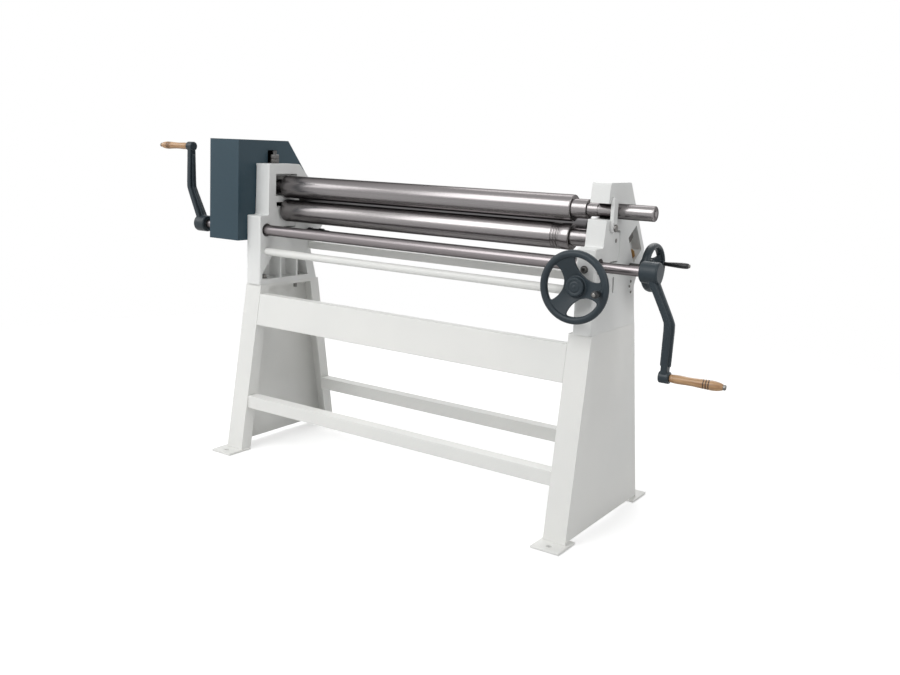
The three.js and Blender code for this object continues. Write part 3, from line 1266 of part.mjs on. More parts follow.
/** A dished three-spoke handwheel about the Y axis: rim plane at y = 0, hub behind it, outside towards -Y. */
function handwheel(radius, bore, handleAt, spokeWidth, windowRound) {
  const rimMiddle = radius - RIM_RADIUS;
  const rimStart = Math.asin(RIM_SHOULDER / RIM_RADIUS);
  const rimInside = rimMiddle - RIM_RADIUS * Math.cos(rimStart);
  const hubFront = WHEEL_DISH - WHEEL_HUB_LENGTH / 2;
  const hubBack = WHEEL_DISH + WHEEL_HUB_LENGTH / 2;
  const web = WEB_THICKNESS / 2;
  const profile = [
    [bore, hubBack],
    [WHEEL_HUB_RADIUS, hubBack],
    [WHEEL_HUB_RADIUS, WHEEL_DISH + web],
    [rimInside, web],
  ];
  for (let i = 0; i <= RIM_STEPS; i++) {
    const angle = Math.PI - rimStart - ((2 * Math.PI - 2 * rimStart) * i) / RIM_STEPS;
    profile.push([rimMiddle + RIM_RADIUS * Math.cos(angle), RIM_RADIUS * Math.sin(angle)]);
  }
  profile.push(
    [rimInside, -web],
    [WHEEL_HUB_RADIUS, WHEEL_DISH - web],
    [WHEEL_HUB_RADIUS, hubFront],
    [bore, hubFront],
  );
  const disc = revolve("y", profile.reverse(), [0, 0, 0], FINE);
  const inside = WHEEL_HUB_RADIUS + WINDOW_HUB_MARGIN;
  const outside = rimInside - WINDOW_RIM_MARGIN;
  const near = Math.asin((spokeWidth / 2 + SPOKE_FLARE) / inside);
  const far = Math.asin((spokeWidth / 2 + SPOKE_RIM_FLARE) / outside);
  const pitch = (2 * Math.PI) / SPOKES;
  const arc = (reach, from, to, count) => {
    const points = [];
    for (let i = 0; i <= count; i++) {
      const angle = from + ((to - from) * i) / count;
      points.push([reach * Math.cos(angle), reach * Math.sin(angle)]);
    }
    return points;
  };
  const window = (spoke) => {
    const start = spoke * pitch;
    const outer = arc(outside, start + far, start + pitch - far, WINDOW_STEPS);
    const inner = arc(inside, start + pitch - near, start + near, 2);
    const corners = [...outer, ...inner].map((point, i) => {
      if (i === 0 || i === WINDOW_STEPS) return [...point, windowRound];
      return i === WINDOW_STEPS + 1 || i === WINDOW_STEPS + 3 ? [...point, WINDOW_HUB_ROUND] : point;
    });
    return prism("y", outline(corners), hubFront - WHEEL_HUB_LENGTH, hubBack + WHEEL_HUB_LENGTH);
  };
  const windows = Array.from({ length: SPOKES }, (_, spoke) => window(spoke));
  const boss = bar("y", [handleAt, -RIM_RADIUS, 0], HANDLE_BOSS_RADIUS, HANDLE_BOSS_LENGTH, SMALL);
  const seat = hole(
    "y",
    [handleAt, -RIM_RADIUS - OPEN, 0],
    HANDLE_SPINDLE_RADIUS + SEAT_GAP,
    HANDLE_BOSS_LENGTH + 2 * OPEN,
    SMALL,
  );
  return cut(cut(disc, ...windows).add(boss), seat);
}

/** A handwheel's handle spindle, reaching out towards -Y from the wheel. */
function wheelSpindle(handleAt, length) {
  const start = -RIM_RADIUS - 2 * SEAT_GAP - length - HANDLE_HEAD[1];
  const shank = length + 2 * SEAT_GAP + RIM_RADIUS + WEB_THICKNESS / 2;
  return stepped("y", [handleAt, start, 0], [HANDLE_HEAD, [HANDLE_SPINDLE_RADIUS, shank]], SMALL);
}

/** A handwheel's turning handle, thicker towards its end. */
function wheelHandle(handleAt, length, [rootRadius, endRadius]) {
  const face = -RIM_RADIUS - SEAT_GAP;
  const bore = bored(HANDLE_SPINDLE_RADIUS + RUN_GAP, SMALL);
  const profile = [
    [bore, face - length],
    [endRadius - HANDLE_EDGE[0], face - length],
    [endRadius, face - length + HANDLE_EDGE[1]],
    [(2 * endRadius + rootRadius) / 3, face - length / 2],
    [rootRadius, face],
    [bore, face],
  ];
  return revolve("y", profile, [handleAt, 0, 0], SMALL);
}

/** Places a handwheel and its handle at a point; turned about Z by 90 degrees its outside looks along +X. */
function addWheel(side, meshes, place, aboutZ, spin) {
  for (const [name, material, body] of meshes) {
    const mesh = piece(`${side}_${name}`, material, body);
    mesh.rotation.set(0, 0, rad(aboutZ));
    mesh.rotateY(rad(spin));
    mesh.position.set(...place);
  }
}

const frontWheel = handwheel(
  FRONT_WHEEL_RADIUS,
  FRONT_SHAFT_RADIUS + SEAT_GAP,
  FRONT_HANDLE_AT,
  FRONT_SPOKE_WIDTH,
  FRONT_WINDOW_ROUND,
);
const frontHandle = wheelHandle(FRONT_HANDLE_AT, FRONT_HANDLE_LENGTH, FRONT_HANDLE_RADII);
addWheel(
  "front",
  [
    ["handwheel", materials.casting, frontWheel],
    ["handle_spindle", materials.steel, wheelSpindle(FRONT_HANDLE_AT, FRONT_HANDLE_LENGTH)],
    ["wheel_handle", materials.plastic, frontHandle],
  ],
  [frontShaftX, frontRimY, liftWormHeight],
  0,
  FRONT_WHEEL_TURN,
);

const sideWheel = handwheel(
  SIDE_WHEEL_RADIUS,
  CROSS_SHAFT_RADIUS + SEAT_GAP,
  SIDE_HANDLE_AT,
  SIDE_SPOKE_WIDTH,
  SIDE_WINDOW_ROUND,
);
const sideRimX = rightOuter + SIDE_WHEEL_REACH;
const sideHandle = wheelHandle(SIDE_HANDLE_AT, SIDE_HANDLE_LENGTH, SIDE_HANDLE_RADII);
addWheel(
  "side",
  [
    ["handwheel", materials.casting, sideWheel],
    ["handle_spindle", materials.steel, wheelSpindle(SIDE_HANDLE_AT, SIDE_HANDLE_LENGTH)],
    ["wheel_handle", materials.plastic, sideHandle],
  ],
  [sideRimX, crossY, crossZ],
  90,
  SIDE_WHEEL_TURN,
);

// Cross shaft of the rear roll, with its drums, clutch sleeve and nuts
const crossStart = leftNutX - REAR_DRUM_LENGTH / 2 - CROSS_SHAFT_OVERHANG;
const crossEnd = sideRimX - WHEEL_DISH + WHEEL_HUB_LENGTH / 2;
const drumRadius = REAR_DRUM_RADIUS - NUT_MODULE - DRUM_GAP;
const drum = (x) => bar("x", [x - REAR_DRUM_LENGTH / 2, crossY, crossZ], drumRadius, REAR_DRUM_LENGTH);
const crossLength = crossEnd - crossStart;
const plainCrossShaft = bar("x", [crossStart, crossY, crossZ], CROSS_SHAFT_RADIUS, crossLength, SMALL);
piece("cross_shaft", materials.dark, join(plainCrossShaft, drum(leftNutX), drum(rightNutX)));

const clutchBore = bored(CROSS_SHAFT_RADIUS + SEAT_GAP);
const clutchProfile = [
  [clutchBore, 0],
  [CLUTCH_RADIUS, 0],
  [CLUTCH_RADIUS, CLUTCH_LENGTH],
  [clutchBore, CLUTCH_LENGTH],
];
const clutch = revolve("x", clutchProfile, [LEFT_FRAME_GAP, crossY, crossZ], MEDIUM);
piece("cross_shaft_clutch", materials.dark, clutch);

/** A nut with worm-wheel teeth that turns on a rear screw. */
function rearNut(x) {
  const root = (NUT_TEETH / 2 - SHALLOW_ROOT) * NUT_MODULE;
  const wheel = prism("z", gearShape(NUT_TEETH, { module: NUT_MODULE, root }), -NUT_WIDTH / 2, NUT_WIDTH / 2);
  const bore = hole("z", [0, 0, -NUT_WIDTH], REAR_SCREW_RADIUS + RUN_GAP, 2 * NUT_WIDTH, SMALL);
  return placed(wheel.subtract(bore), REAR_SLIDE_LEAN, x, ...slotPoint(-NUT_BELOW, 0));
}
piece("rear_nut_left", materials.bronze, rearNut(leftNutX));
piece("rear_nut_right", materials.bronze, rearNut(rightNutX));

// Adjusting stud and nuts of the upper left bearing
const studBottom = upperRollHeight + UPPER_BLOCK_ABOVE + SEAT_GAP;
const studTop = frameTop + STUD_ABOVE_FRAME;
const nutCorner = NUT_ACROSS / Math.sqrt(3);
piece(
  "adjusting_stud",
  materials.steel,
  bar("z", [-STUD_OUTSIDE, -STUD_BEFORE, studBottom], STUD_RADIUS, studTop - studBottom, SMALL),
);

/** A hexagon nut on the stud. */
function hexNut(z) {
  const corners = [];
  for (let i = 0; i < 6; i++) {
    const angle = (i * Math.PI) / 3 + rad(NUT_TURN);
    corners.push([nutCorner * Math.cos(angle), nutCorner * Math.sin(angle)]);
  }
  return prism("z", outline(corners), z, z + NUT_HEIGHT)
    .subtract(hole("z", [0, 0, z - OPEN], STUD_RADIUS + SEAT_GAP, NUT_HEIGHT + 2 * OPEN, SMALL))
    .translate([-STUD_OUTSIDE, -STUD_BEFORE, 0]);
}
piece("adjusting_nut", materials.steel, hexNut(frameTop + SEAT_GAP));
piece("lock_nut", materials.steel, hexNut(frameTop + NUT_HEIGHT + 2 * SEAT_GAP));

/** The gear cover: a folded shell round the gears, open towards the frame. */
function gearCover() {
  const outer = leftOuter - SEAT_GAP;
  const far = outer - COVER_DEPTH;
  const bottom = driveHeight - pinionTip - COVER_PINION_GAP - COVER_SHEET;
  const rear = bullTip + COVER_REAR_GAP + COVER_SHEET;
  const [level, rise] = [Math.sin(rad(COVER_SLANT)), Math.cos(rad(COVER_SLANT))];
  const skin = (inset) => {
    const reach = bullTip + COVER_GAP + COVER_SHEET - inset;
    const front = -bullTip - COVER_FRONT_GAP - COVER_SHEET + inset;
    return outline([
      [front, bottom + inset],
      [rear - inset, bottom + inset],
      [rear - inset, upperRollHeight + (reach - (rear - inset) * level) / rise],
      [(reach * (1 - rise)) / level, upperRollHeight + reach],
      [front, upperRollHeight + reach],
    ]);
  };
  const mouthRear = rear - COVER_RETURN;
  const mouth = outline([
    [-LEFT_TOWER_FRONT + COVER_LAP, shoulderHeight - COVER_LAP],
    [-SHOULDER_FRONT + COVER_LAP, shoulderHeight - COVER_LAP],
    [-SHOULDER_FRONT + COVER_LAP, bottom - OPEN],
    [mouthRear, bottom - OPEN],
    [mouthRear, lowerRollHeight + COVER_RETURN_TOP],
    [LEFT_TOWER_REAR - COVER_LAP, frameTop - COVER_LAP],
    [-LEFT_TOWER_FRONT + COVER_LAP, frameTop - COVER_LAP],
  ]);
  const wall = outer - COVER_SHEET - OPEN;
  const half = nutCorner + COVER_NOTCH_GAP;
  const low = frameTop - COVER_LAP - OPEN;
  return cut(
    prism("x", skin(0), far, outer),
    prism("x", skin(COVER_SHEET), far + COVER_SHEET, outer - COVER_SHEET),
    prism("x", mouth, wall, outer + OPEN),
    box(wall, outer + OPEN, -STUD_BEFORE - half, -STUD_BEFORE + half, low, studTop + OPEN),
    through(far, COVER_SHEET, -DRIVE_BEFORE, driveHeight, DRIVE_RADIUS + COVER_SHAFT_GAP),
  );
}
piece("gear_cover", materials.cover, gearCover());

// Tie rod and tie bar between the frames
const betweenFrames = [leftInner + SEAT_GAP, rightInner - SEAT_GAP];
const tieRodAt = [betweenFrames[0], -TIE_ROD_BEFORE, frameBase + TIE_ROD_ABOVE_BASE];
const tieRod = bar("x", tieRodAt, TIE_ROD_RADIUS, betweenFrames[1] - betweenFrames[0]);
piece("front_tie_rod", materials.paint, tieRod);
const tieLow = frameBase + TIE_BAR_ABOVE_BASE;
const tieHigh = tieLow + TIE_BAR_SIDE;
const tieBar = outline([
  [TIE_BAR_FRONT, tieLow],
  [TIE_BAR_FRONT + TIE_BAR_THICKNESS, tieLow],
  [TIE_BAR_FRONT + TIE_BAR_THICKNESS, tieHigh - TIE_BAR_THICKNESS, TIE_BAR_FILLET],
  [TIE_BAR_FRONT + TIE_BAR_SIDE, tieHigh - TIE_BAR_THICKNESS],
  [TIE_BAR_FRONT + TIE_BAR_SIDE, tieHigh],
  [TIE_BAR_FRONT, tieHigh, TIE_BAR_EDGE],
]);
piece("rear_tie_bar", materials.paint, prism("x", tieBar, ...betweenFrames));

// Stand

/** The front edge of a leg at a height. */
const legFront = (z) => -(LEG_FRONT_BOTTOM + ((LEG_FRONT_TOP - LEG_FRONT_BOTTOM) * z) / LEG_HEIGHT);

/** The rear edge of a leg at a height. */
const legRear = (z) => LEG_REAR_BOTTOM + ((LEG_REAR_TOP - LEG_REAR_BOTTOM) * z) / LEG_HEIGHT;

/** A leg of folded sheet, with its web at webX, its lips and open side at lipX and its bolts at boltX. */
function leg(webX, lipX, boltX) {
  const inward = Math.sign(lipX - webX);
  const low = FOOT_PLATE + SEAT_GAP;
  const ceiling = LEG_HEIGHT - LEG_TOP_PLATE;
  const profile = (bottom, top, front, rear) =>
    outline([
      [legFront(low) + front, bottom],
      [legRear(low) - rear, bottom],
      [legRear(top) - rear, top],
      [legFront(top) + front, top],
    ]);
  const outside = profile(low, LEG_HEIGHT, 0, 0);
  const hollow = profile(low - OPEN, ceiling, LEG_SHEET, LEG_SHEET);
  const mouth = profile(low - OPEN, ceiling, LEG_FRONT_LIP, LEG_REAR_LIP);
  const webFoot = box(
    webX - inward * OPEN,
    webX + inward * (LEG_SHEET + OPEN),
    legFront(low) + LEG_SHEET,
    legRear(low) - LEG_SHEET,
    low - OPEN,
    LEG_WEB_LIFT,
  );
  const holes = BOLT_PLACES.map((y) =>
    hole("z", [boltX, y, ceiling - OPEN], BOLT_RADIUS + RUN_GAP, LEG_TOP_PLATE + 2 * OPEN, SMALL),
  );
  return cut(
    prism("x", outside, webX, lipX),
    prism("x", hollow, webX + inward * LEG_SHEET, lipX - inward * LEG_SHEET),
    prism("x", mouth, lipX - inward * (LEG_SHEET + OPEN), lipX + inward * OPEN),
    webFoot,
    ...holes,
  );
}

const leftWeb = leftInner - LEG_WIDTH;
const rightLip = rightOuter - LEG_WIDTH;
piece("leg_left", materials.paint, leg(leftWeb, leftInner, leftBoltX));
piece("leg_right", materials.paint, leg(rightOuter, rightLip, rightBoltX));

/** A foot plate with its hole for a floor bolt, near its outer end. */
function footPlate(x0, y0) {
  const holeY = y0 < 0 ? y0 + FOOT_HOLE_INSET : y0 + FOOT_PLATE_LENGTH - FOOT_HOLE_INSET;
  const centre = [x0 + FOOT_PLATE_WIDTH / 2, holeY, -OPEN];
  return cut(
    box(x0, x0 + FOOT_PLATE_WIDTH, y0, y0 + FOOT_PLATE_LENGTH, 0, FOOT_PLATE),
    hole("z", centre, FOOT_HOLE_RADIUS, FOOT_PLATE + 2 * OPEN, SMALL),
  );
}
const frontFootY = legFront(0) - FOOT_PLATE_TOE;
const rearFootY = legRear(0) + FOOT_PLATE_TOE - FOOT_PLATE_LENGTH;
const leftFootX = leftWeb - LEFT_FOOT_OUT;
const rightFootX = rightOuter + RIGHT_FOOT_OUT - FOOT_PLATE_WIDTH;
piece("foot_front_left", materials.paint, footPlate(leftFootX, frontFootY));
piece("foot_rear_left", materials.paint, footPlate(leftFootX, rearFootY));
piece("foot_front_right", materials.paint, footPlate(rightFootX, frontFootY));
piece("foot_rear_right", materials.paint, footPlate(rightFootX, rearFootY));

// Front upper beam: a leaning plate with folded edges, flush with the legs' front
const beamTop = LEG_HEIGHT - BEAM_BELOW_TOP;
const beamBottom = beamTop - BEAM_HEIGHT;
const beamShape = outline([
  [legFront(beamBottom), beamBottom, BEAM_ROUND],
  [legFront(beamTop), beamTop, BEAM_ROUND],
  [legFront(beamTop) + BEAM_DEPTH, beamTop],
  [legFront(beamTop) + BEAM_DEPTH, beamTop - LEG_SHEET],
  [legFront(beamTop) + LEG_SHEET, beamTop - LEG_SHEET],
  [legFront(beamBottom) + LEG_SHEET, beamBottom + LEG_SHEET],
  [legFront(beamBottom) + BEAM_DEPTH, beamBottom + LEG_SHEET],
  [legFront(beamBottom) + BEAM_DEPTH, beamBottom],
]);
const betweenLegs = [leftInner + SEAT_GAP, rightLip - SEAT_GAP];
piece("front_beam", materials.paint, prism("x", beamShape, ...betweenLegs));

/** A square tube between the legs, above its lower edge's height and behind a place. */
function rail(y0, z0) {
  const [from, to] = betweenLegs;
  const [y1, z1] = [y0 + RAIL_SIDE, z0 + RAIL_SIDE];
  return cut(
    box(from, to, y0, y1, z0, z1),
    box(from - OPEN, to + OPEN, y0 + RAIL_WALL, y1 - RAIL_WALL, z0 + RAIL_WALL, z1 - RAIL_WALL),
  );
}
const frontRailY = legFront(FRONT_RAIL_BOTTOM + RAIL_SIDE) + RAIL_INSET;
const rearRailY = legRear(REAR_RAIL_BOTTOM + RAIL_SIDE) - RAIL_SIDE - RAIL_INSET;
piece("front_rail", materials.paint, rail(frontRailY, FRONT_RAIL_BOTTOM));
piece("rear_rail", materials.paint, rail(rearRailY, REAR_RAIL_BOTTOM));

/** A base bolt: head and washer on the frame's foot, shank down through the leg's top plate. */
function baseBolt(x, y) {
  const top = frameBase + FOOT_FLANGE + SEAT_GAP;
  const low = LEG_HEIGHT - LEG_TOP_PLATE - BOLT_BELOW;
  return stepped("z", [x, y, low], [[BOLT_RADIUS, top - low], BOLT_WASHER, BOLT_HEAD], SMALL);
}
for (const [side, x] of [["left", leftBoltX], ["right", rightBoltX]]) {
  piece(`base_bolt_front_${side}`, materials.steel, baseBolt(x, BOLT_PLACES[0]));
  piece(`base_bolt_rear_${side}`, materials.steel, baseBolt(x, BOLT_PLACES[1]));
}

// The part's origin is the middle of its bounding box, on the floor.
machine.updateMatrixWorld(true);
const bounds = new THREE.Box3().setFromObject(machine, true);
const middle = bounds.getCenter(new THREE.Vector3());
machine.position.set(-middle.x, -middle.y, 0);

export default machine;
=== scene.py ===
"""Looks of a hand-cranked three-roll bending machine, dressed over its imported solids. Sizes are in metres."""

import sys
import json
import logging
import math
from dataclasses import dataclass
from enum import Enum
from typing import Sequence

import bpy
from mathutils import Matrix, Vector


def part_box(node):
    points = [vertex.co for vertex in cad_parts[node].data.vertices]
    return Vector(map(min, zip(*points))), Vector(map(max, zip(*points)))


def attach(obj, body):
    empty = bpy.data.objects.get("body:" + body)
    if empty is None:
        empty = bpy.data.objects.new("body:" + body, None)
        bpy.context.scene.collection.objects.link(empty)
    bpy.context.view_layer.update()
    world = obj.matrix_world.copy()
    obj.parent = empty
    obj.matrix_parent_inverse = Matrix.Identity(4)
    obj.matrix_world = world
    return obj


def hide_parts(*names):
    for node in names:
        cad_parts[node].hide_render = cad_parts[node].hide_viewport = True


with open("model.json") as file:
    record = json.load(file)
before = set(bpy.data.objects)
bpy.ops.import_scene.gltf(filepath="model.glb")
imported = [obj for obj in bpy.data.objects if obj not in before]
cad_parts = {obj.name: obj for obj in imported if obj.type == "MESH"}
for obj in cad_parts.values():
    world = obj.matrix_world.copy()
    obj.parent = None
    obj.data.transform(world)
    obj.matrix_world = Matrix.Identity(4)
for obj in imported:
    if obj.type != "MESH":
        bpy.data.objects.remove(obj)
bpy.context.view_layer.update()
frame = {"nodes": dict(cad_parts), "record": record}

LOG = logging.getLogger("slip_roll")
RECORD = frame["record"]
BODY_OF = {node: body for body, nodes in RECORD["behaviour"]["bodies"].items() for node in nodes}
SLOT_OF = {row["node"]: row["material_slot"] for row in RECORD["subparts"]}
FRAME_GAP = 0.005  # from the left side frame to the roll barrels
SEAT_GAP = 0.0003  # between a turning piece and what holds it
SHAFT_EDGE = 0.002  # chamfer of a turned end
NOISE = (0.3, 0.7)  # where nearly all values of a noise lie

Profile = Sequence[tuple[float, float]]
Colour = tuple[float, float, float]


class Axis(Enum):
    """A direction that a round piece is drawn out along, and how a flat circle is turned to face it."""

    X = ((1.0, 0.0, 0.0), (0.0, math.pi / 2, 0.0))
    Y = ((0.0, 1.0, 0.0), (-math.pi / 2, 0.0, 0.0))
    Z = ((0.0, 0.0, 1.0), (0.0, 0.0, 0.0))

    @property
    def direction(self) -> Vector:
        """The unit vector along the axis."""
        return Vector(self.value[0])

    @property
    def turn(self) -> tuple[float, float, float]:
        """The rotation of a circle that faces along the axis."""
        return self.value[1]


class Side(Enum):
    """One end of the machine: its name, and which way is outward along X."""

    LEFT = ("left", -1.0)
    RIGHT = ("right", 1.0)

    @property
    def label(self) -> str:
        """The side's name, as nodes end with it."""
        return self.value[0]

    @property
    def outward(self) -> float:
        """The sign of X that points away from the rolls."""
        return self.value[1]


class Wheel(Enum):
    """The two handwheels, by the word that their nodes' names begin with."""

    FRONT = "front"
    SIDE = "side"


class Work(Enum):
    """What a tool does to a piece."""

    JOIN = "UNION"
    CUT = "DIFFERENCE"


class Datum:
    """Places given from the left end of the roll barrels, the plane of the front rolls and the floor."""

    def __init__(self) -> None:
        """Reads the datum from the frame's own nodes."""
        low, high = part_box("upper_roll")
        self.origin = Vector((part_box("side_frame_left")[1].x + FRAME_GAP, (low.y + high.y) / 2, 0.0))

    def at(self, x: float, y: float, z: float) -> Vector:
        """The frame's point at x right of the barrels' left end, y behind the front rolls' plane and height z."""
        return self.origin + Vector((x, y, z))


def centre_of(node: str) -> Vector:
    """The middle of a node's box."""
    low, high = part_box(node)
    return (low + high) / 2


def left_end_of(node: str) -> Vector:
    """The middle of the left face of a node's box."""
    centre = centre_of(node)
    return Vector((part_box(node)[0].x, centre.y, centre.z))


def foot_of(node: str) -> Vector:
    """The middle of the lower face of a node's box."""
    centre = centre_of(node)
    return Vector((centre.x, centre.y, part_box(node)[0].z))


class NodeSheet:
    """A material's node tree, with short ways to add and join its nodes."""

    def __init__(self, name: str) -> None:
        """Starts a material with one principled shader.

        Args:
            name: The material's name.
        """
        self.material = bpy.data.materials.new(name)
        self.material.use_nodes = True
        self.tree = self.material.node_tree
        self.tree.nodes.clear()
        self.shader = self.tree.nodes.new("ShaderNodeBsdfPrincipled")
        output = self.tree.nodes.new("ShaderNodeOutputMaterial")
        self.tree.links.new(self.shader.outputs["BSDF"], output.inputs["Surface"])
        self.coordinates = self.tree.nodes.new("ShaderNodeTexCoord").outputs["Object"]

    def give(self, socket: str, value: object) -> None:
        """Sets a shader socket to a value, or joins a node's output to it.

        Args:
            socket: The socket's name.
            value: A number, a colour or a node's output.
        """
        target = self.shader.inputs[socket]
        if isinstance(value, bpy.types.NodeSocket):
            self.tree.links.new(value, target)
        else:
            target.default_value = (*value, 1.0) if isinstance(value, tuple) else value

    def noise(self, scale: float, detail: float = 2.0, stretch: Sequence[float] = (1, 1, 1)) -> bpy.types.NodeSocket:
        """Noise on the object's own coordinates.

        Args:
            scale: Features per metre.
            detail: Octaves.
            stretch: How much finer the pattern is along each axis.

        Returns:
            The noise's value.
        """
        mapping = self.tree.nodes.new("ShaderNodeMapping")
        mapping.inputs["Scale"].default_value = tuple(stretch)
        texture = self.tree.nodes.new("ShaderNodeTexNoise")
        texture.inputs["Scale"].default_value = scale
        texture.inputs["Detail"].default_value = detail
        self.tree.links.new(self.coordinates, mapping.inputs["Vector"])
        self.tree.links.new(mapping.outputs["Vector"], texture.inputs["Vector"])
        return texture.outputs["Fac"]

    def span(
        self, value: bpy.types.NodeSocket, low: float, high: float, start: float = 0.0, end: float = 1.0
    ) -> bpy.types.NodeSocket:
        """Maps a value's range to another, clamped.

        Args:
            value: The value that is mapped.
            low: Where the range begins.
            high: Where it ends.
            start: What the beginning becomes.
            end: What the end becomes.

        Returns:
            The mapped value.
        """
        node = self.tree.nodes.new("ShaderNodeMapRange")
        for name, number in (("From Min", low), ("From Max", high), ("To Min", start), ("To Max", end)):
            node.inputs[name].default_value = number
        self.tree.links.new(value, node.inputs["Value"])
        return node.outputs["Result"]

    def blend(self, factor: bpy.types.NodeSocket, first: object, second: object) -> bpy.types.NodeSocket:
        """Mixes two colours.

        Args:
            factor: How much of the second.
            first: A colour or an output.
            second: A colour or an output.

        Returns:
            The mixed colour.
        """
        node = self.tree.nodes.new("ShaderNodeMix")
        node.data_type = "RGBA"
        self.tree.links.new(factor, node.inputs["Factor"])
        for slot, value in ((6, first), (7, second)):
            if isinstance(value, bpy.types.NodeSocket):
                self.tree.links.new(value, node.inputs[slot])
            else:
                node.inputs[slot].default_value = (*value, 1.0)
        return node.outputs[2]

    def edges(self, low: float, high: float) -> bpy.types.NodeSocket:
        """How much a point lies on an outer edge, from 0 to 1."""
        geometry = self.tree.nodes.new("ShaderNodeNewGeometry")
        return self.span(geometry.outputs["Pointiness"], low, high)

    def bump(self, height: bpy.types.NodeSocket, strength: float, distance: float) -> None:
        """Roughs the surface by a height.

        Args:
            height: The height, from 0 to 1.
            strength: How much of it shows.
            distance: The height of 1, in metres.
        """
        node = self.tree.nodes.new("ShaderNodeBump")
        node.inputs["Strength"].default_value = strength
        node.inputs["Distance"].default_value = distance
        self.tree.links.new(height, node.inputs["Height"])
        self.tree.links.new(node.outputs["Normal"], self.shader.inputs["Normal"])


@dataclass(frozen=True)
class Paint:
    """Paint on sheet or on a casting: two close tones, an uneven gloss and a fine skin."""

    name: str
    colour: Colour
    shade: Colour
    roughness: float = 0.4
    skin: float = 0.15
    skin_scale: float = 420.0
    skin_height: float = 0.0006
    wear: Colour | None = None
    coat: float = 0.0
    gloss: float = 0.3
    cloud_scale: float = 2.6
    smudge_scale: float = 9.0
    rub_scale: float = 60.0
    smoother: float = 0.06
    rougher: float = 0.08

    def material(self) -> bpy.types.Material:
        """Makes the paint.

        Returns:
            The node material.
        """
        sheet = NodeSheet(self.name)
        tone = sheet.blend(sheet.span(sheet.noise(self.cloud_scale, 4.0), 0.35, 0.68), self.colour, self.shade)
        if self.wear:
            rubbed = sheet.span(sheet.noise(self.rub_scale, 3.0), 0.42, 0.62)
            edge = sheet.blend(rubbed, self.colour, self.wear)
            tone = sheet.blend(sheet.edges(0.53, 0.62), tone, edge)
        sheet.give("Base Color", tone)
        low, high = self.roughness - self.smoother, self.roughness + self.rougher
        sheet.give("Roughness", sheet.span(sheet.noise(self.smudge_scale, 5.0), *NOISE, low, high))
        sheet.give("Coat Weight", self.coat)
        sheet.give("Coat Roughness", 0.2)
        sheet.give("Specular IOR Level", self.gloss)
        sheet.bump(sheet.noise(self.skin_scale, 2.0), self.skin, self.skin_height)
        return sheet.material


@dataclass(frozen=True)
class Metal:
    """Bare metal with tool marks that run round the X axis, or round none."""

    name: str
    colour: Colour
    shade: Colour
    roughness: float = 0.28
    lines: Sequence[float] = (1.0, 0.004, 0.004)
    line_scale: float = 900.0
    line_depth: float = 0.12
    stain: Colour | None = None
    rim: float = 0.6
    spread: float = 0.03
    lines_per_band: float = 14
    stain_scale: float = 16.0
    line_height: float = 0.0003

    def material(self) -> bpy.types.Material:
        """Makes the metal.

        Returns:
            The node material.
        """
        sheet = NodeSheet(self.name)
        marks = sheet.noise(self.line_scale, 3.0, self.lines)
        bands = sheet.noise(self.line_scale / self.lines_per_band, 2.0, self.lines)
        tone = sheet.blend(sheet.span(bands, *NOISE), self.colour, self.shade)
        if self.stain:
            spots = sheet.span(sheet.noise(self.stain_scale, 6.0), 0.55, 0.72, 0.0, 0.6)
            tone = sheet.blend(spots, tone, self.stain)
        sheet.give("Base Color", tone)
        sheet.give("Metallic", 1.0)
        sheet.give("Specular Tint", (self.rim, self.rim, self.rim))
        low, high = self.roughness - self.spread, self.roughness + self.spread
        sheet.give("Roughness", sheet.span(marks, *NOISE, low, high))
        sheet.bump(marks, self.line_depth, self.line_height)
        return sheet.material


@dataclass(frozen=True)
class Wood:
    """Turned and varnished wood, with its grain along the X axis."""

    name: str
    light: Colour
    dark: Colour
    grain_scale: float = 150.0
    fibre_scale: float = 700.0
    fibre_height: float = 0.0003

    def material(self) -> bpy.types.Material:
        """Makes the wood.

        Returns:
            The node material.
        """
        sheet = NodeSheet(self.name)
        grain = sheet.noise(self.grain_scale, 5.0, (0.08, 1.0, 1.0))
        fibre = sheet.noise(self.fibre_scale, 2.0, (0.04, 1.0, 1.0))
        tone = sheet.blend(sheet.span(grain, 0.38, 0.66), self.light, self.dark)
        tone = sheet.blend(sheet.span(fibre, 0.56, 0.72, 0.0, 0.45), tone, self.dark)
        sheet.give("Base Color", tone)
        sheet.give("Roughness", sheet.span(grain, *NOISE, 0.42, 0.55))
        sheet.give("Coat Weight", 0.35)
        sheet.give("Coat Roughness", 0.18)
        sheet.bump(fibre, 0.25, self.fibre_height)
        return sheet.material


@dataclass(frozen=True)
class Moulding:
    """Moulded plastic with a faint grain and a soft gloss."""

    name: str
    colour: Colour
    roughness: float = 0.3
    rubbed: float = 0.12
    skin_height: float = 0.0002

    def material(self) -> bpy.types.Material:
        """Makes the plastic.

        Returns:
            The node material.
        """
        sheet = NodeSheet(self.name)
        pale = tuple(channel * 1.9 + 0.004 for channel in self.colour)
        sheet.give("Base Color", sheet.blend(sheet.span(sheet.noise(35.0, 4.0), 0.45, 0.75), self.colour, pale))
        low, high = self.roughness, self.roughness + self.rubbed
        sheet.give("Roughness", sheet.span(sheet.noise(60.0, 3.0), *NOISE, low, high))
        sheet.bump(sheet.noise(1500.0, 1.0), 0.08, self.skin_height)
        return sheet.material


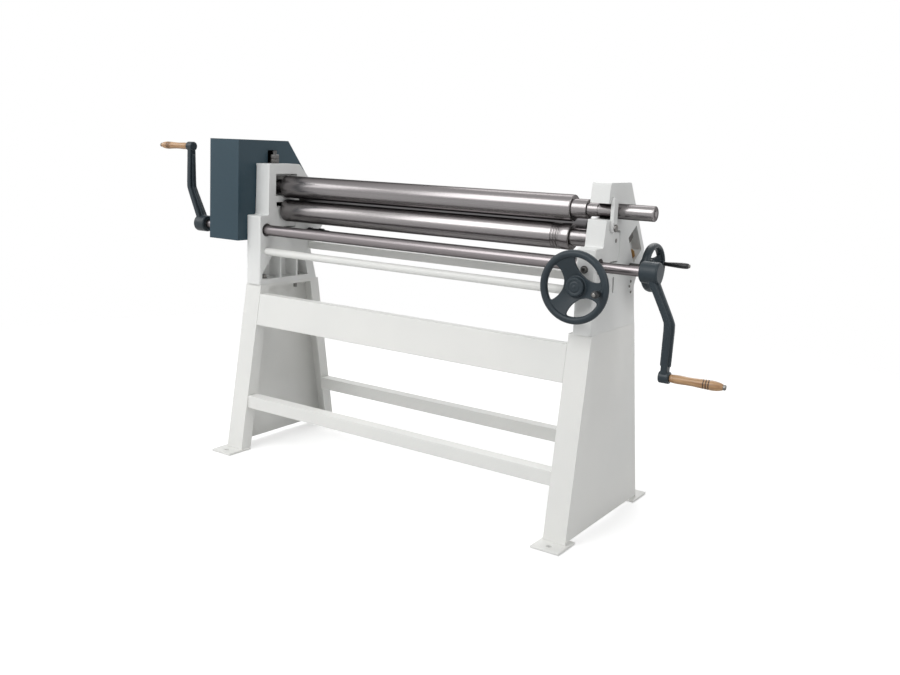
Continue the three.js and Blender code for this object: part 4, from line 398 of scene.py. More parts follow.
class Palette:
    """Every finish of the machine, made once."""

    def __init__(self) -> None:
        """Makes the materials."""
        self.white = Paint("white_machine_paint", (0.80, 0.80, 0.775), (0.765, 0.77, 0.75), coat=0.15).material()
        self.casting = Paint(
            "white_paint_on_casting", (0.81, 0.815, 0.80), (0.76, 0.77, 0.76), 0.42, 0.5, 210.0, 0.0012
        ).material()
        self.slate = Paint(
            "slate_sheet_paint", (0.024, 0.054, 0.074), (0.0215, 0.048, 0.066), 0.42, coat=0.1
        ).material()
        self.iron = Paint(
            "blue_black_casting_paint",
            (0.026, 0.038, 0.047),
            (0.017, 0.025, 0.031),
            0.40,
            0.55,
            260.0,
            0.0008,
            wear=(0.13, 0.15, 0.165),
        ).material()
        self.rolls = self.drawn_steel("ground_roll_steel", (0.30, 0.285, 0.285), (0.225, 0.212, 0.215), 0.25, 0.16)
        # the rear roll's steel is darker than the other rolls: painted shade, so that the roll seen between the lower
        # and upper rolls reads as the shadow there
        self.rear_roll = self.drawn_steel("shade_darkened_roll_steel", (0.15, 0.145, 0.148), (0.11, 0.107, 0.11), 0.34, 0.25)
        self.shaft = self.drawn_steel("bright_shaft_steel", (0.27, 0.247, 0.252), (0.20, 0.183, 0.188), 0.30, 0.18)
        self.bolt = Metal(
            "plated_fastener_steel", (0.25, 0.243, 0.232), (0.18, 0.175, 0.168), 0.38, (1, 1, 1), 300.0, 0.05
        ).material()
        self.gear = Metal(
            "oiled_gear_steel", (0.16, 0.155, 0.15), (0.09, 0.09, 0.09), 0.4, (1, 1, 1), 240.0, 0.3, (0.05, 0.042, 0.03)
        ).material()
        self.bronze = Metal("bearing_bronze", (0.50, 0.31, 0.13), (0.38, 0.22, 0.09), 0.34).material()
        self.wood = Wood("varnished_grip_wood", (0.47, 0.28, 0.135), (0.27, 0.135, 0.055)).material()
        self.burnt = Wood("burnt_grip_rings", (0.075, 0.034, 0.014), (0.035, 0.016, 0.007)).material()
        self.black = Moulding("black_handle_plastic", (0.008, 0.009, 0.010)).material()

    def drawn_steel(self, name: str, colour: Colour, shade: Colour, roughness: float, rim: float) -> bpy.types.Material:
        """Bright steel with long soft streaks along the X axis, and with rim as its brightness seen edge on."""
        streaks = (0.008, 1.0, 1.0)
        return Metal(name, colour, shade, roughness, streaks, 420.0, 0.01, rim=rim, spread=0.02).material()


@dataclass
class Bench:
    """The modelling moves that the sub-assemblies share."""

    merge_reach: float = 0.00002
    flat_angle: float = 1.0
    flat_weight: int = 90
    crown_from: float = 0.82
    crown_radius: float = 0.86
    crown_edge: float = 0.0006
    smoothing: int = 3

    def clear(self) -> None:
        """Deselects everything."""
        bpy.ops.object.select_all(action="DESELECT")

    def pick(self, piece: bpy.types.Object) -> None:
        """Makes one piece the selected and active one.

        Args:
            piece: The piece.
        """
        self.clear()
        piece.select_set(True)
        bpy.context.view_layer.objects.active = piece

    def turned(self, name: str, start: Vector, axis: Axis, profile: Profile, segments: int = 72) -> bpy.types.Object:
        """A round piece, drawn out ring by ring from a disc.

        Args:
            name: The piece's name.
            start: Where the profile's distances are counted from.
            axis: The piece's axis.
            profile: Pairs of distance along the axis and radius.
            segments: Sides of the circle.

        Returns:
            The piece.
        """
        self.clear()
        along, radius = profile[0]
        bpy.ops.mesh.primitive_circle_add(
            vertices=segments,
            radius=radius,
            fill_type="NGON",
            location=start + axis.direction * along,
            rotation=axis.turn,
        )
        piece = bpy.context.object
        piece.name = name
        bpy.ops.object.mode_set(mode="EDIT")
        bpy.ops.mesh.select_all(action="SELECT")
        for next_along, next_radius in profile[1:]:
            step = axis.direction * (next_along - along)
            bpy.ops.mesh.extrude_region_move(TRANSFORM_OT_translate={"value": step})
            grow = next_radius / radius
            bpy.ops.transform.resize(value=(grow, grow, grow), center_override=start + axis.direction * next_along)
            along, radius = next_along, next_radius
        self.close_edit()
        return piece

    def swept(self, name: str, stations: Sequence[tuple[Vector, float, float]]) -> bpy.types.Object:
        """A bar drawn out from a flat plate through stations.

        Args:
            name: The piece's name.
            stations: Centre, size along X and size along Y of each section.

        Returns:
            The bar.
        """
        self.clear()
        centre, wide, deep = stations[0]
        bpy.ops.mesh.primitive_plane_add(size=1.0, location=centre)
        piece = bpy.context.object
        piece.name = name
        bpy.ops.object.mode_set(mode="EDIT")
        bpy.ops.mesh.select_all(action="SELECT")
        bpy.ops.transform.resize(value=(wide, deep, 1.0), center_override=centre)
        for next_centre, next_wide, next_deep in stations[1:]:
            bpy.ops.mesh.extrude_region_move(TRANSFORM_OT_translate={"value": next_centre - centre})
            grow = (next_wide / wide, next_deep / deep, 1.0)
            bpy.ops.transform.resize(value=grow, center_override=next_centre)
            centre, wide, deep = next_centre, next_wide, next_deep
        self.close_edit()
        return piece

    def close_edit(self) -> None:
        """Turns every face of the piece in edit mode outwards and leaves edit mode."""
        bpy.ops.mesh.select_all(action="SELECT")
        bpy.ops.mesh.normals_make_consistent(inside=False)
        bpy.ops.object.mode_set(mode="OBJECT")

    def plate(self, name: str, points: Sequence[Vector], push: Vector) -> bpy.types.Object:
        """A flat outline pushed to a thickness.

        Args:
            name: The piece's name.
            points: The outline's corners.
            push: How far and which way it is pushed.

        Returns:
            The plate.
        """
        self.clear()
        bpy.ops.mesh.primitive_circle_add(vertices=len(points), fill_type="NGON")
        piece = bpy.context.object
        piece.name = name
        for vertex, point in zip(piece.data.vertices, points):
            vertex.co = point
        bpy.ops.object.mode_set(mode="EDIT")
        bpy.ops.mesh.select_all(action="SELECT")
        bpy.ops.mesh.extrude_region_move(TRANSFORM_OT_translate={"value": push})
        self.close_edit()
        return piece

    def hexagon(self, name: str, base: Vector, axis: Axis, across: float, height: float) -> bpy.types.Object:
        """A hexagon head or nut with a chamfered crown.

        Args:
            name: The piece's name.
            base: The middle of its seat.
            axis: Which way it stands.
            across: Width across the flats.
            height: Its height.

        Returns:
            The head.
        """
        reach = across / math.sqrt(3)
        profile = [(0.0, reach), (height * self.crown_from, reach), (height, reach * self.crown_radius)]
        head = self.turned(name, base, axis, profile, 6)
        self.soften(head, self.crown_edge, 2, 20.0)
        return head

    def modify(self, piece: bpy.types.Object, kind: str, **settings: object) -> None:
        """Adds a modifier to a piece and applies it.

        Args:
            piece: The piece.
            kind: The modifier's type.
            settings: Its settings by name.
        """
        self.pick(piece)
        modifier = piece.modifiers.new(kind.lower(), kind)
        for name, value in settings.items():
            setattr(modifier, name, value)
        bpy.ops.object.modifier_apply(modifier=modifier.name)

    def soften(self, piece: bpy.types.Object, width: float, segments: int = 2, angle: float = 30.0) -> None:
        """Rounds the edges that are sharper than an angle in degrees, to a width and in so many steps."""
        limit = math.radians(angle)
        self.modify(piece, "BEVEL", width=width, segments=segments, limit_method="ANGLE", angle_limit=limit)

    def shade(self, piece: bpy.types.Object, angle: float = 35.0) -> None:
        """Shades the piece smooth, up to an angle in degrees."""
        self.pick(piece)
        bpy.ops.object.shade_smooth_by_angle(angle=math.radians(angle))

    def shade_flats(self, piece: bpy.types.Object) -> None:
        """Shades the piece smooth, with its large faces kept flat up to their rounded edges."""
        self.shade(piece)
        self.modify(piece, "WEIGHTED_NORMAL", keep_sharp=True, weight=self.flat_weight)

    def combine(self, piece: bpy.types.Object, tool: bpy.types.Object, work: Work) -> None:
        """Joins a tool to a piece or cuts it out of it, and removes the tool."""
        self.modify(piece, "BOOLEAN", operation=work.value, object=tool, solver="EXACT")
        bpy.data.objects.remove(tool)

    def cast(self, piece: bpy.types.Object, voxel: float) -> None:
        """Gives a piece the soft corners and even skin of a casting, in cells of voxel's size."""
        self.modify(piece, "REMESH", mode="VOXEL", voxel_size=voxel, use_smooth_shade=True)
        self.modify(piece, "SMOOTH", factor=0.5, iterations=self.smoothing)

    def copied(self, node: str, width: float, segments: int = 2, angle: float = 30.0) -> bpy.types.Object:
        """A copy of a node's solid with merged faces and rounded edges, kept inside the solid's box.

        Args:
            node: The node.
            width: Reach of the rounding, or 0 for none.
            segments: Its steps.
            angle: The least angle of a rounded edge, in degrees.

        Returns:
            The copy.
        """
        piece = bpy.data.objects.new(f"{node}_dressed", frame["nodes"][node].data.copy())
        bpy.context.scene.collection.objects.link(piece)
        self.pick(piece)
        bpy.ops.object.mode_set(mode="EDIT")
        bpy.ops.mesh.select_all(action="SELECT")
        bpy.ops.mesh.remove_doubles(threshold=self.merge_reach)
        bpy.ops.mesh.dissolve_limited(angle_limit=math.radians(self.flat_angle))
        bpy.ops.object.mode_set(mode="OBJECT")
        if width:
            self.soften(piece, width, segments, angle)
            low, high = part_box(node)
            for vertex in piece.data.vertices:
                vertex.co = [min(max(value, least), most) for value, least, most in zip(vertex.co, low, high)]
            self.shade_flats(piece)
        return piece

    def merged(self, pieces: Sequence[bpy.types.Object]) -> bpy.types.Object:
        """Makes several finished pieces one object.

        Args:
            pieces: The pieces.

        Returns:
            The object, which keeps the first piece's name.
        """
        self.pick(pieces[0])
        for piece in pieces:
            piece.select_set(True)
        bpy.ops.object.join()
        return bpy.context.object

    def set_down(self, piece: bpy.types.Object, place: Matrix | None = None) -> None:
        """Moves a piece to its place and puts the place into its mesh.

        Args:
            piece: The piece.
            place: Where it goes, or nothing where it is already there.
        """
        if place is not None:
            piece.matrix_world = place @ piece.matrix_world
        self.pick(piece)
        bpy.ops.object.transform_apply(location=True, rotation=True, scale=True)

    def hand_over(
        self, piece: bpy.types.Object, finish: bpy.types.Material, body: str, slot: str, *replaced: str
    ) -> None:
        """Gives a finished piece its material, its body and the nodes that it stands for.

        Args:
            piece: The piece.
            finish: Its material.
            body: The body that it moves with.
            slot: The record's material slot; not used.
            replaced: Nodes that it replaces.
        """
        self.set_down(piece)
        piece.data.materials.clear()
        piece.data.materials.append(finish)
        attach(piece, body)
        if replaced:
            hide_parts(*replaced)
        LOG.info("%s: %d faces, on %s", piece.name, len(piece.data.polygons), body)

    def stand_for(self, piece: bpy.types.Object, node: str, finish: bpy.types.Material) -> None:
        """Hands over a piece in place of one node, on that node's body."""
        self.hand_over(piece, finish, BODY_OF[node], SLOT_OF[node], node)


@dataclass
class Rolls:
    """The three rolls: ground barrels, shouldered necks and, on the lower one, grooves for wire."""

    bench: Bench
    palette: Palette
    datum: Datum
    barrel_length: float = 1.300
    barrel_radius: float = 0.045
    edge: float = 0.003
    gear_seat: float = 0.022
    driven_journal: float = 0.027
    driven_journal_from: float = -0.082
    journal: float = 0.0225
    rear_journal: float = 0.020
    upper_neck: float = 0.0325
    upper_neck_end: float = 1.353
    tail_groove_from: float = 1.390
    tail_groove: float = 0.003
    tail_groove_depth: float = 0.002
    tail: float = 0.025
    tail_from: float = 1.457
    lower_neck: float = 0.0295
    lower_neck_end: float = 1.385
    grooves: tuple[tuple[float, float], ...] = ((1.236, 0.003), (1.247, 0.0035), (1.258, 0.0045))
    ground_edge: float = 0.0007
    centre_drilling: float = 0.004
    segments: int = 128

    def barrel(self, neck: float, end_neck: float) -> list[tuple[float, float]]:
        """A plain barrel's profile between two necks.

        Args:
            neck: Radius of the left neck.
            end_neck: Radius of the right neck.

        Returns:
            Pairs of distance and radius.
        """
        inner = self.barrel_radius - self.edge
        return [
            (0.0, neck),
            (0.0, inner),
            (self.edge, self.barrel_radius),
            (self.barrel_length - self.edge, self.barrel_radius),
            (self.barrel_length, inner),
            (self.barrel_length, end_neck),
        ]

    def groove(self, centre: float, radius: float, steps: int = 8) -> list[tuple[float, float]]:
        """The profile of a half-round groove, with its middle at centre along the barrel."""
        angles = [math.pi * i / steps for i in range(steps + 1)]
        return [(centre - radius * math.cos(a), self.barrel_radius - radius * math.sin(a)) for a in angles]

    def driven_end(self, node: str) -> list[tuple[float, float]]:
        """The profile of a driven roll's left end, up to its journal.

        Args:
            node: The roll's node.

        Returns:
            Pairs of distance and radius.
        """
        return [
            (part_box(node)[0].x - self.datum.origin.x, self.gear_seat),
            (self.driven_journal_from, self.gear_seat),
            (self.driven_journal_from, self.driven_journal),
        ]

    def make(self, node: str, profile: Profile, finish: bpy.types.Material) -> None:
        """Turns one roll on its node's axis and hands it over.

        Args:
            node: The roll's node.
            profile: Its profile from the datum.
            finish: Its material.
        """
        low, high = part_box(node)
        start = Vector((self.datum.origin.x, (low.y + high.y) / 2, (low.z + high.z) / 2))
        roll = self.bench.turned(f"{node}_ground", start, Axis.X, profile, self.segments)
        self.bench.soften(roll, self.ground_edge)
        self.bench.shade(roll)
        self.bench.stand_for(roll, node, finish)

    def build(self) -> None:
        """Builds the three rolls."""
        x0 = self.datum.origin.x
        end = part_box("upper_roll")[1].x - x0
        groove_end = self.tail_groove_from + self.tail_groove
        groove_floor = self.journal - self.tail_groove_depth
        self.make(
            "upper_roll",
            [
                *self.driven_end("upper_roll"),
                *self.barrel(self.driven_journal, self.upper_neck),
                (self.upper_neck_end, self.upper_neck),
                (self.upper_neck_end, self.journal),
                (self.tail_groove_from, self.journal),
                (self.tail_groove_from, groove_floor),
                (groove_end, groove_floor),
                (groove_end, self.journal),
                (self.tail_from, self.journal),
                (self.tail_from, self.tail),
                (end - SHAFT_EDGE, self.tail),
                (end, self.tail - SHAFT_EDGE),
                (end, self.tail * 0.45),
                (end - self.centre_drilling, self.tail * 0.2),
            ],
            self.palette.rolls,
        )
        plain = self.barrel(self.driven_journal, self.lower_neck)
        arcs = [point for centre, radius in self.grooves for point in self.groove(centre, radius)]
        self.make(
            "lower_roll",
            [
                *self.driven_end("lower_roll"),
                *plain[:3],
                *arcs,
                *plain[3:],
                (self.lower_neck_end, self.lower_neck),
                (self.lower_neck_end, self.journal),
                (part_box("lower_roll")[1].x - x0, self.journal),
            ],
            self.palette.rolls,
        )
        rear_low, rear_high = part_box("rear_roll")
        self.make(
            "rear_roll",
            [
                (rear_low.x - x0, self.rear_journal),
                *self.barrel(self.rear_journal, self.lower_neck),
                (self.lower_neck_end, self.lower_neck),
                (self.lower_neck_end, self.rear_journal),
                (rear_high.x - x0, self.rear_journal),
            ],
            self.palette.rear_roll,
        )


@dataclass
class Drive:
    """The drive shaft and the two cast cranks with their turned grips."""

    bench: Bench
    palette: Palette
    datum: Datum
    shaft_radius: float = 0.021
    end_radius: float = 0.0165
    left_end_length: float = 0.081
    right_step: float = 1.455
    hub_length: float = 0.057
    hub_radius: float = 0.034
    hub_edge: float = 0.004
    hub_crown: float = 0.003
    bore_play: float = 0.0005
    throw: float = 0.322
    bend: float = 0.151
    offset: float = 0.054
    arm_depth: float = 0.022
    arm_width: float = 0.038
    arm_crown: float = 0.008
    arm_edge: float = 0.0045
    arm_sections: tuple[float, ...] = (0.0, 0.3, 0.6, 0.85, 0.93, 0.98, 1.02, 1.07, 1.15, 1.5, 1.9)
    bend_ease: float = 0.15
    bend_relief: float = 0.02
    upper_taper: float = 0.3
    lower_taper: float = 0.19
    cast_angle: float = 40.0
    rib: float = 0.006
    rib_edge: float = 0.0015
    boss_radius: float = 0.019
    boss_length: float = 0.034
    boss_inset: float = 0.008
    rest_angle: float = 3.0
    spindle_radius: float = 0.006
    grip_radius: float = 0.0155
    ring_edge: float = 0.0004
    rings: tuple[tuple[float, float], ...] = ((0.636, 0.659), (0.686, 0.709), (0.736, 0.759))
    grip_shape: Profile = (
        (0.0, 0.70), (0.012, 0.80), (0.05, 0.84), (0.12, 0.90), (0.20, 0.90), (0.32, 0.84), (0.45, 0.84),
        (0.56, 0.90), (0.635, 0.95), (0.64, 0.88), (0.655, 0.88), (0.66, 0.97), (0.685, 0.98), (0.69, 0.90),
        (0.705, 0.90), (0.71, 1.0), (0.735, 1.0), (0.74, 0.90), (0.755, 0.90), (0.76, 1.0), (0.82, 0.99),
        (0.88, 0.92), (0.94, 0.80), (0.985, 0.62), (1.0, 0.52),
    )
    voxel: float = 0.0012

    def shaft(self) -> None:
        """Turns the drive shaft."""
        low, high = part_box("drive_shaft")
        length = high.x - low.x
        step = self.datum.origin.x + self.right_step - low.x
        profile = [
            (0.0, self.end_radius - SHAFT_EDGE),
            (SHAFT_EDGE, self.end_radius),
            (self.left_end_length, self.end_radius),
            (self.left_end_length, self.shaft_radius),
            (step, self.shaft_radius),
            (step, self.end_radius),
            (length - SHAFT_EDGE, self.end_radius),
            (length, self.end_radius - SHAFT_EDGE),
        ]
        shaft = self.bench.turned("drive_shaft_turned", left_end_of("drive_shaft"), Axis.X, profile, 64)
        self.bench.shade(shaft)
        self.bench.stand_for(shaft, "drive_shaft", self.palette.shaft)

    def arm_stations(self, depth: float, width: float, shift: float) -> list[tuple[Vector, float, float]]:
        """Sections of the cranked arm, from the hub's middle down to the boss.

        Args:
            depth: Its thickness along X.
            width: Its width at the bend.
            shift: How far it stands outward of the arm's middle.

        Returns:
            The sections.
        """
        middle = self.hub_length / 2
        slope = self.offset + self.boss_inset
        end = self.throw / self.bend
        stations = []
        for share in (*self.arm_sections, end):
            lean = min(1.0, share)
            near = max(0.0, 1.0 - abs(share - 1.0) / self.bend_ease)
            crown = self.arm_crown * min(lean, (end - share) / (end - 1.0))
            x = middle + slope * (lean - self.bend_relief * near) + crown + shift
            taper = self.upper_taper if share < 1 else self.lower_taper
            width_here = width * (1.0 + taper * (1.0 - share))
            stations.append((Vector((x, 0.0, -share * self.bend)), depth, width_here))
        return stations

    def crank(self, side: Side) -> None:
        """Casts one crank and hangs it on the shaft's end.

        Args:
            side: Which crank.
        """
        node = f"crank_{side.label}"
        bench = self.bench
        zero = Vector((0.0, 0.0, 0.0))
        arm = bench.swept(f"{node}_cast", self.arm_stations(self.arm_depth, self.arm_width, 0.0))
        bench.soften(arm, self.arm_edge, 2, self.cast_angle)
        for reach in (self.rib, -self.rib):
            rib = bench.swept("rib", self.arm_stations(self.arm_depth, 2 * self.rib, reach)[:-1])
            bench.soften(rib, self.rib_edge, 2, self.cast_angle)
            bench.combine(arm, rib, Work.JOIN)
        hub_profile = [
            (0.0, self.hub_radius - self.hub_edge),
            (self.hub_edge, self.hub_radius),
            (self.hub_length - SHAFT_EDGE, self.hub_radius),
            (self.hub_length + self.hub_crown, self.hub_radius - 0.005),
            (self.hub_length + self.hub_crown, self.hub_radius * 0.4),
        ]
        bench.combine(arm, bench.turned("hub", zero, Axis.X, hub_profile), Work.JOIN)
        outward = self.hub_length / 2 + self.offset - self.boss_inset
        boss_start = Vector((outward, 0.0, -self.throw))
        boss_profile = [
            (0.0, self.boss_radius - SHAFT_EDGE),
            (SHAFT_EDGE, self.boss_radius),
            (self.boss_length - SHAFT_EDGE, self.boss_radius),
            (self.boss_length, self.boss_radius - SHAFT_EDGE),
        ]
        bench.combine(arm, bench.turned("boss", boss_start, Axis.X, boss_profile), Work.JOIN)
        bore = self.end_radius + self.bore_play
        bore_profile = [(-0.01, bore), (self.hub_length + SEAT_GAP, bore)]
        bench.combine(arm, bench.turned("bore", zero, Axis.X, bore_profile, 48), Work.CUT)
        bench.cast(arm, self.voxel)
        bench.set_down(arm, self.place(side))
        bench.stand_for(arm, node, self.palette.iron)

    def place(self, side: Side) -> Matrix:
        """Where a crank's own axes stand in the frame: X out of the hub, the arm along -Z.

        Args:
            side: Which crank.

        Returns:
            The crank's place.
        """
        low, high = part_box(f"crank_{side.label}")
        shaft = centre_of("drive_shaft")
        hub_x = low.x if side is Side.RIGHT else high.x
        turn = 0.0 if side is Side.RIGHT else math.pi
        lean = Matrix.Rotation(math.radians(self.rest_angle), 4, "X")
        return Matrix.Translation((hub_x, shaft.y, shaft.z)) @ lean @ Matrix.Rotation(turn, 4, "Y")

    def grip(self, side: Side) -> None:
        """Turns one wooden grip and the steel spindle that holds it.

        Args:
            side: Which crank.
        """
        node = f"grip_{side.label}"
        low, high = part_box(node)
        centre = centre_of(node)
        length = high.x - low.x
        radius = self.grip_radius
        inner = low.x if side is Side.RIGHT else high.x
        start = Vector((inner, centre.y, centre.z))
        profile = [(side.outward * share * length, radius * size) for share, size in self.grip_shape]
        grip = self.bench.turned(f"{node}_turned", start, Axis.X, profile, 64)
        self.bench.soften(grip, self.ring_edge, 2, 25.0)
        self.bench.shade(grip, 40.0)
        self.bench.stand_for(grip, node, self.palette.wood)
        grip.data.materials.append(self.palette.burnt)
        for face in grip.data.polygons:
            share = abs(face.center.x - inner) / length
            if any(near <= share <= far for near, far in self.rings):
                face.material_index = 1
        self.spindle(side, inner, centre, length)

    def spindle(self, side: Side, inner: float, centre: Vector, grip_length: float) -> None:
        """Turns a grip's spindle with the bright cap on its end.

        Args:
            side: Which crank.
            inner: Where the grip's inner face lies along X.
            centre: The grip's middle.
            grip_length: The grip's length.
        """
        node = f"grip_spindle_{side.label}"
        low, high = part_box(node)
        outer = high.x if side is Side.RIGHT else low.x
        start = Vector((inner, centre.y, centre.z))
        reach = abs(outer - inner)
        back = self.boss_length - 0.001
        cap_from, cap = grip_length + 0.0005, self.spindle_radius + 0.0025
        shape = [
            (-back, self.spindle_radius),
            (cap_from, self.spindle_radius),
            (cap_from, cap),
            (reach - 0.002, cap),
            (reach, self.spindle_radius + 0.001),
            (reach, 0.0035),
            (reach - 0.0015, 0.003),
        ]
        profile = [(side.outward * along, radius) for along, radius in shape]
        spindle = self.bench.turned(f"{node}_turned", start, Axis.X, profile, 40)
        self.bench.shade(spindle)
        self.bench.stand_for(spindle, node, self.palette.bolt)

    def build(self) -> None:
        """Builds the shaft, both cranks and both grips."""
        self.shaft()
        for side in Side:
            self.crank(side)
            self.grip(side)


@dataclass
class Handwheel:
    """A dished three-spoke handwheel with its turning handle, made about the Y axis with its outside at -Y."""

    bench: Bench
    palette: Palette
    which: Wheel
    radius: float
    handle_at: float
    handle_length: float
    handle_root: float
    handle_end: float
    spin: float
    about_z: float
    shaft_node: str
    window_at: float
    window_radius: float
    hub_radius: float
    rim: float = 0.010
    rim_depth: float = 0.0125
    hub_length: float = 0.040
    dish: float = 0.0195
    web: float = 0.009
    fillet: float = 0.009
    windows: tuple[float, ...] = (60.0, 180.0, 300.0)
    cutter: tuple[float, float] = (-0.05, 0.13)
    voxel: float = 0.0012

    def place(self) -> Matrix:
        """Where the wheel's own axes stand in the frame.

        Returns:
            The wheel's place.
        """
        low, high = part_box(f"{self.which.value}_handwheel")
        axis = centre_of(self.shaft_node)
        if self.about_z:
            rim_plane = Vector((high.x - self.rim_depth, axis.y, axis.z))
        else:
            rim_plane = Vector((axis.x, low.y + self.rim_depth, axis.z))
        upright = Matrix.Rotation(math.radians(self.about_z), 4, "Z")
        return Matrix.Translation(rim_plane) @ upright @ Matrix.Rotation(math.radians(self.spin), 4, "Y")

    def disc(self) -> bpy.types.Object:
        """The wheel before its windows are cut: hub, coned web and round rim in one.

        Returns:
            The wheel.
        """
        middle = self.radius - self.rim
        inside = middle - 0.8 * self.rim  # where the web runs into the rim's round, with the 0.6 below
        half = self.web / 2
        start = math.asin(0.6)
        sweep = 2 * math.pi - 2 * start
        angles = [math.pi + start + sweep * i / 18 for i in range(19)]
        arc = [(self.rim_depth * math.sin(angle), middle + self.rim * math.cos(angle)) for angle in angles]
        front = self.dish - self.hub_length / 2
        back = self.dish + self.hub_length / 2
        profile = [
            (front - 0.0020, 0.0035),
            (front - 0.0016, 0.0045),
            (front - 0.0006, 0.0050),
            (front - 0.0006, self.hub_radius * 0.50),
            (front + 0.0016, self.hub_radius * 0.54),
            (front + 0.0016, self.hub_radius * 0.66),
            (front, self.hub_radius * 0.70),
            (front, self.hub_radius - 0.0035),
            (front + 0.003, self.hub_radius),
            (self.dish - half - 0.004, self.hub_radius),
            (self.dish - half - 0.001, self.hub_radius + 0.004),
            (-half, inside),
            *arc,
            (half, inside),
            (self.dish + half, self.hub_radius + 0.003),
            (self.dish + half + 0.003, self.hub_radius),
            (back - 0.002, self.hub_radius),
            (back, self.hub_radius - 0.003),
        ]
        return self.bench.turned(f"{self.which.value}_handwheel_cast", Vector((0, 0, 0)), Axis.Y, profile, 128)

    def window(self, turn: float) -> bpy.types.Object:
        """A tool that cuts one window, where a circle near the rim crosses the rim's inside.

        Args:
            turn: The direction of the window's middle, in degrees.

        Returns:
            The tool.
        """
        outside = self.radius - 1.8 * self.rim - 0.001
        meet = (outside**2 + self.window_at**2 - self.window_radius**2) / (2 * self.window_at)
        far = math.acos(meet / outside)
        near = math.atan2(outside * math.sin(far), self.window_at - meet)
        rim_side = [(outside * math.cos(a), outside * math.sin(a)) for a in self.sweep(-far, far, 16)]
        hub_side = [
            (self.window_at - self.window_radius * math.cos(a), self.window_radius * math.sin(a))
            for a in self.sweep(near, -near, 18)[1:-1]
        ]
        start = math.radians(turn)
        cos, sin = math.cos(start), math.sin(start)
        from_y, deep = self.cutter
        points = [Vector((u * cos - v * sin, from_y, u * sin + v * cos)) for u, v in rim_side + hub_side]
        tool = self.bench.plate("window", points, Vector((0.0, deep, 0.0)))
        self.bench.soften(tool, self.fillet, 5, 40.0)
        return tool

    def sweep(self, start: float, end: float, steps: int) -> list[float]:
        """Angles from start to end in even steps."""
        return [start + (end - start) * i / steps for i in range(steps + 1)]

    def build(self) -> None:
        """Casts the wheel, turns its handle and puts both in place."""
        bench = self.bench
        wheel = self.disc()
        for turn in self.windows:
            bench.combine(wheel, self.window(turn), Work.CUT)
        seat = Vector((self.handle_at, 0.0, 0.0))
        face = -self.rim_depth
        boss_profile = [(face, 0.0085), (face + 0.001, 0.0095), (self.web / 2 + 0.007, 0.0125)]
        bench.combine(wheel, bench.turned("seat", seat, Axis.Y, boss_profile, 40), Work.JOIN)
        bench.cast(wheel, self.voxel)
        bench.set_down(wheel, self.place())
        bench.stand_for(wheel, f"{self.which.value}_handwheel", self.palette.iron)
        self.handle(seat)

    def handle(self, seat: Vector) -> None:
        """Turns the handle and its spindle.

        Args:
            seat: Where the spindle crosses the rim plane.
        """
        bench = self.bench
        face = -self.rim_depth - SEAT_GAP
        length, root, end = self.handle_length, self.handle_root, self.handle_end
        shape = [
            (0.0, 0.0045),
            (0.0, root * 0.80),
            (0.004, root * 0.98),
            (0.10 * length, root),
            (0.30 * length, root + 0.35 * (end - root)),
            (0.55 * length, root + 0.80 * (end - root)),
            (0.75 * length, end),
            (0.90 * length, end * 0.97),
            (0.97 * length, end * 0.86),
            (length, end * 0.62),
            (length, 0.0052),
        ]
        profile = [(face - along, radius) for along, radius in shape]
        handle = bench.turned(f"{self.which.value}_wheel_handle_turned", seat, Axis.Y, profile, 48)
        bench.shade(handle, 50.0)
        bench.set_down(handle, self.place())
        bench.stand_for(handle, f"{self.which.value}_wheel_handle", self.palette.black)
        tip = face - length - SEAT_GAP
        spindle_profile = [(tip - 0.003, 0.0045), (tip - 0.0022, 0.006), (tip, 0.006), (tip, 0.004), (0.004, 0.004)]
        spindle = bench.turned(f"{self.which.value}_handle_spindle_turned", seat, Axis.Y, spindle_profile, 40)
        bench.shade(spindle)
        bench.set_down(spindle, self.place())
        bench.stand_for(spindle, f"{self.which.value}_handle_spindle", self.palette.bolt)


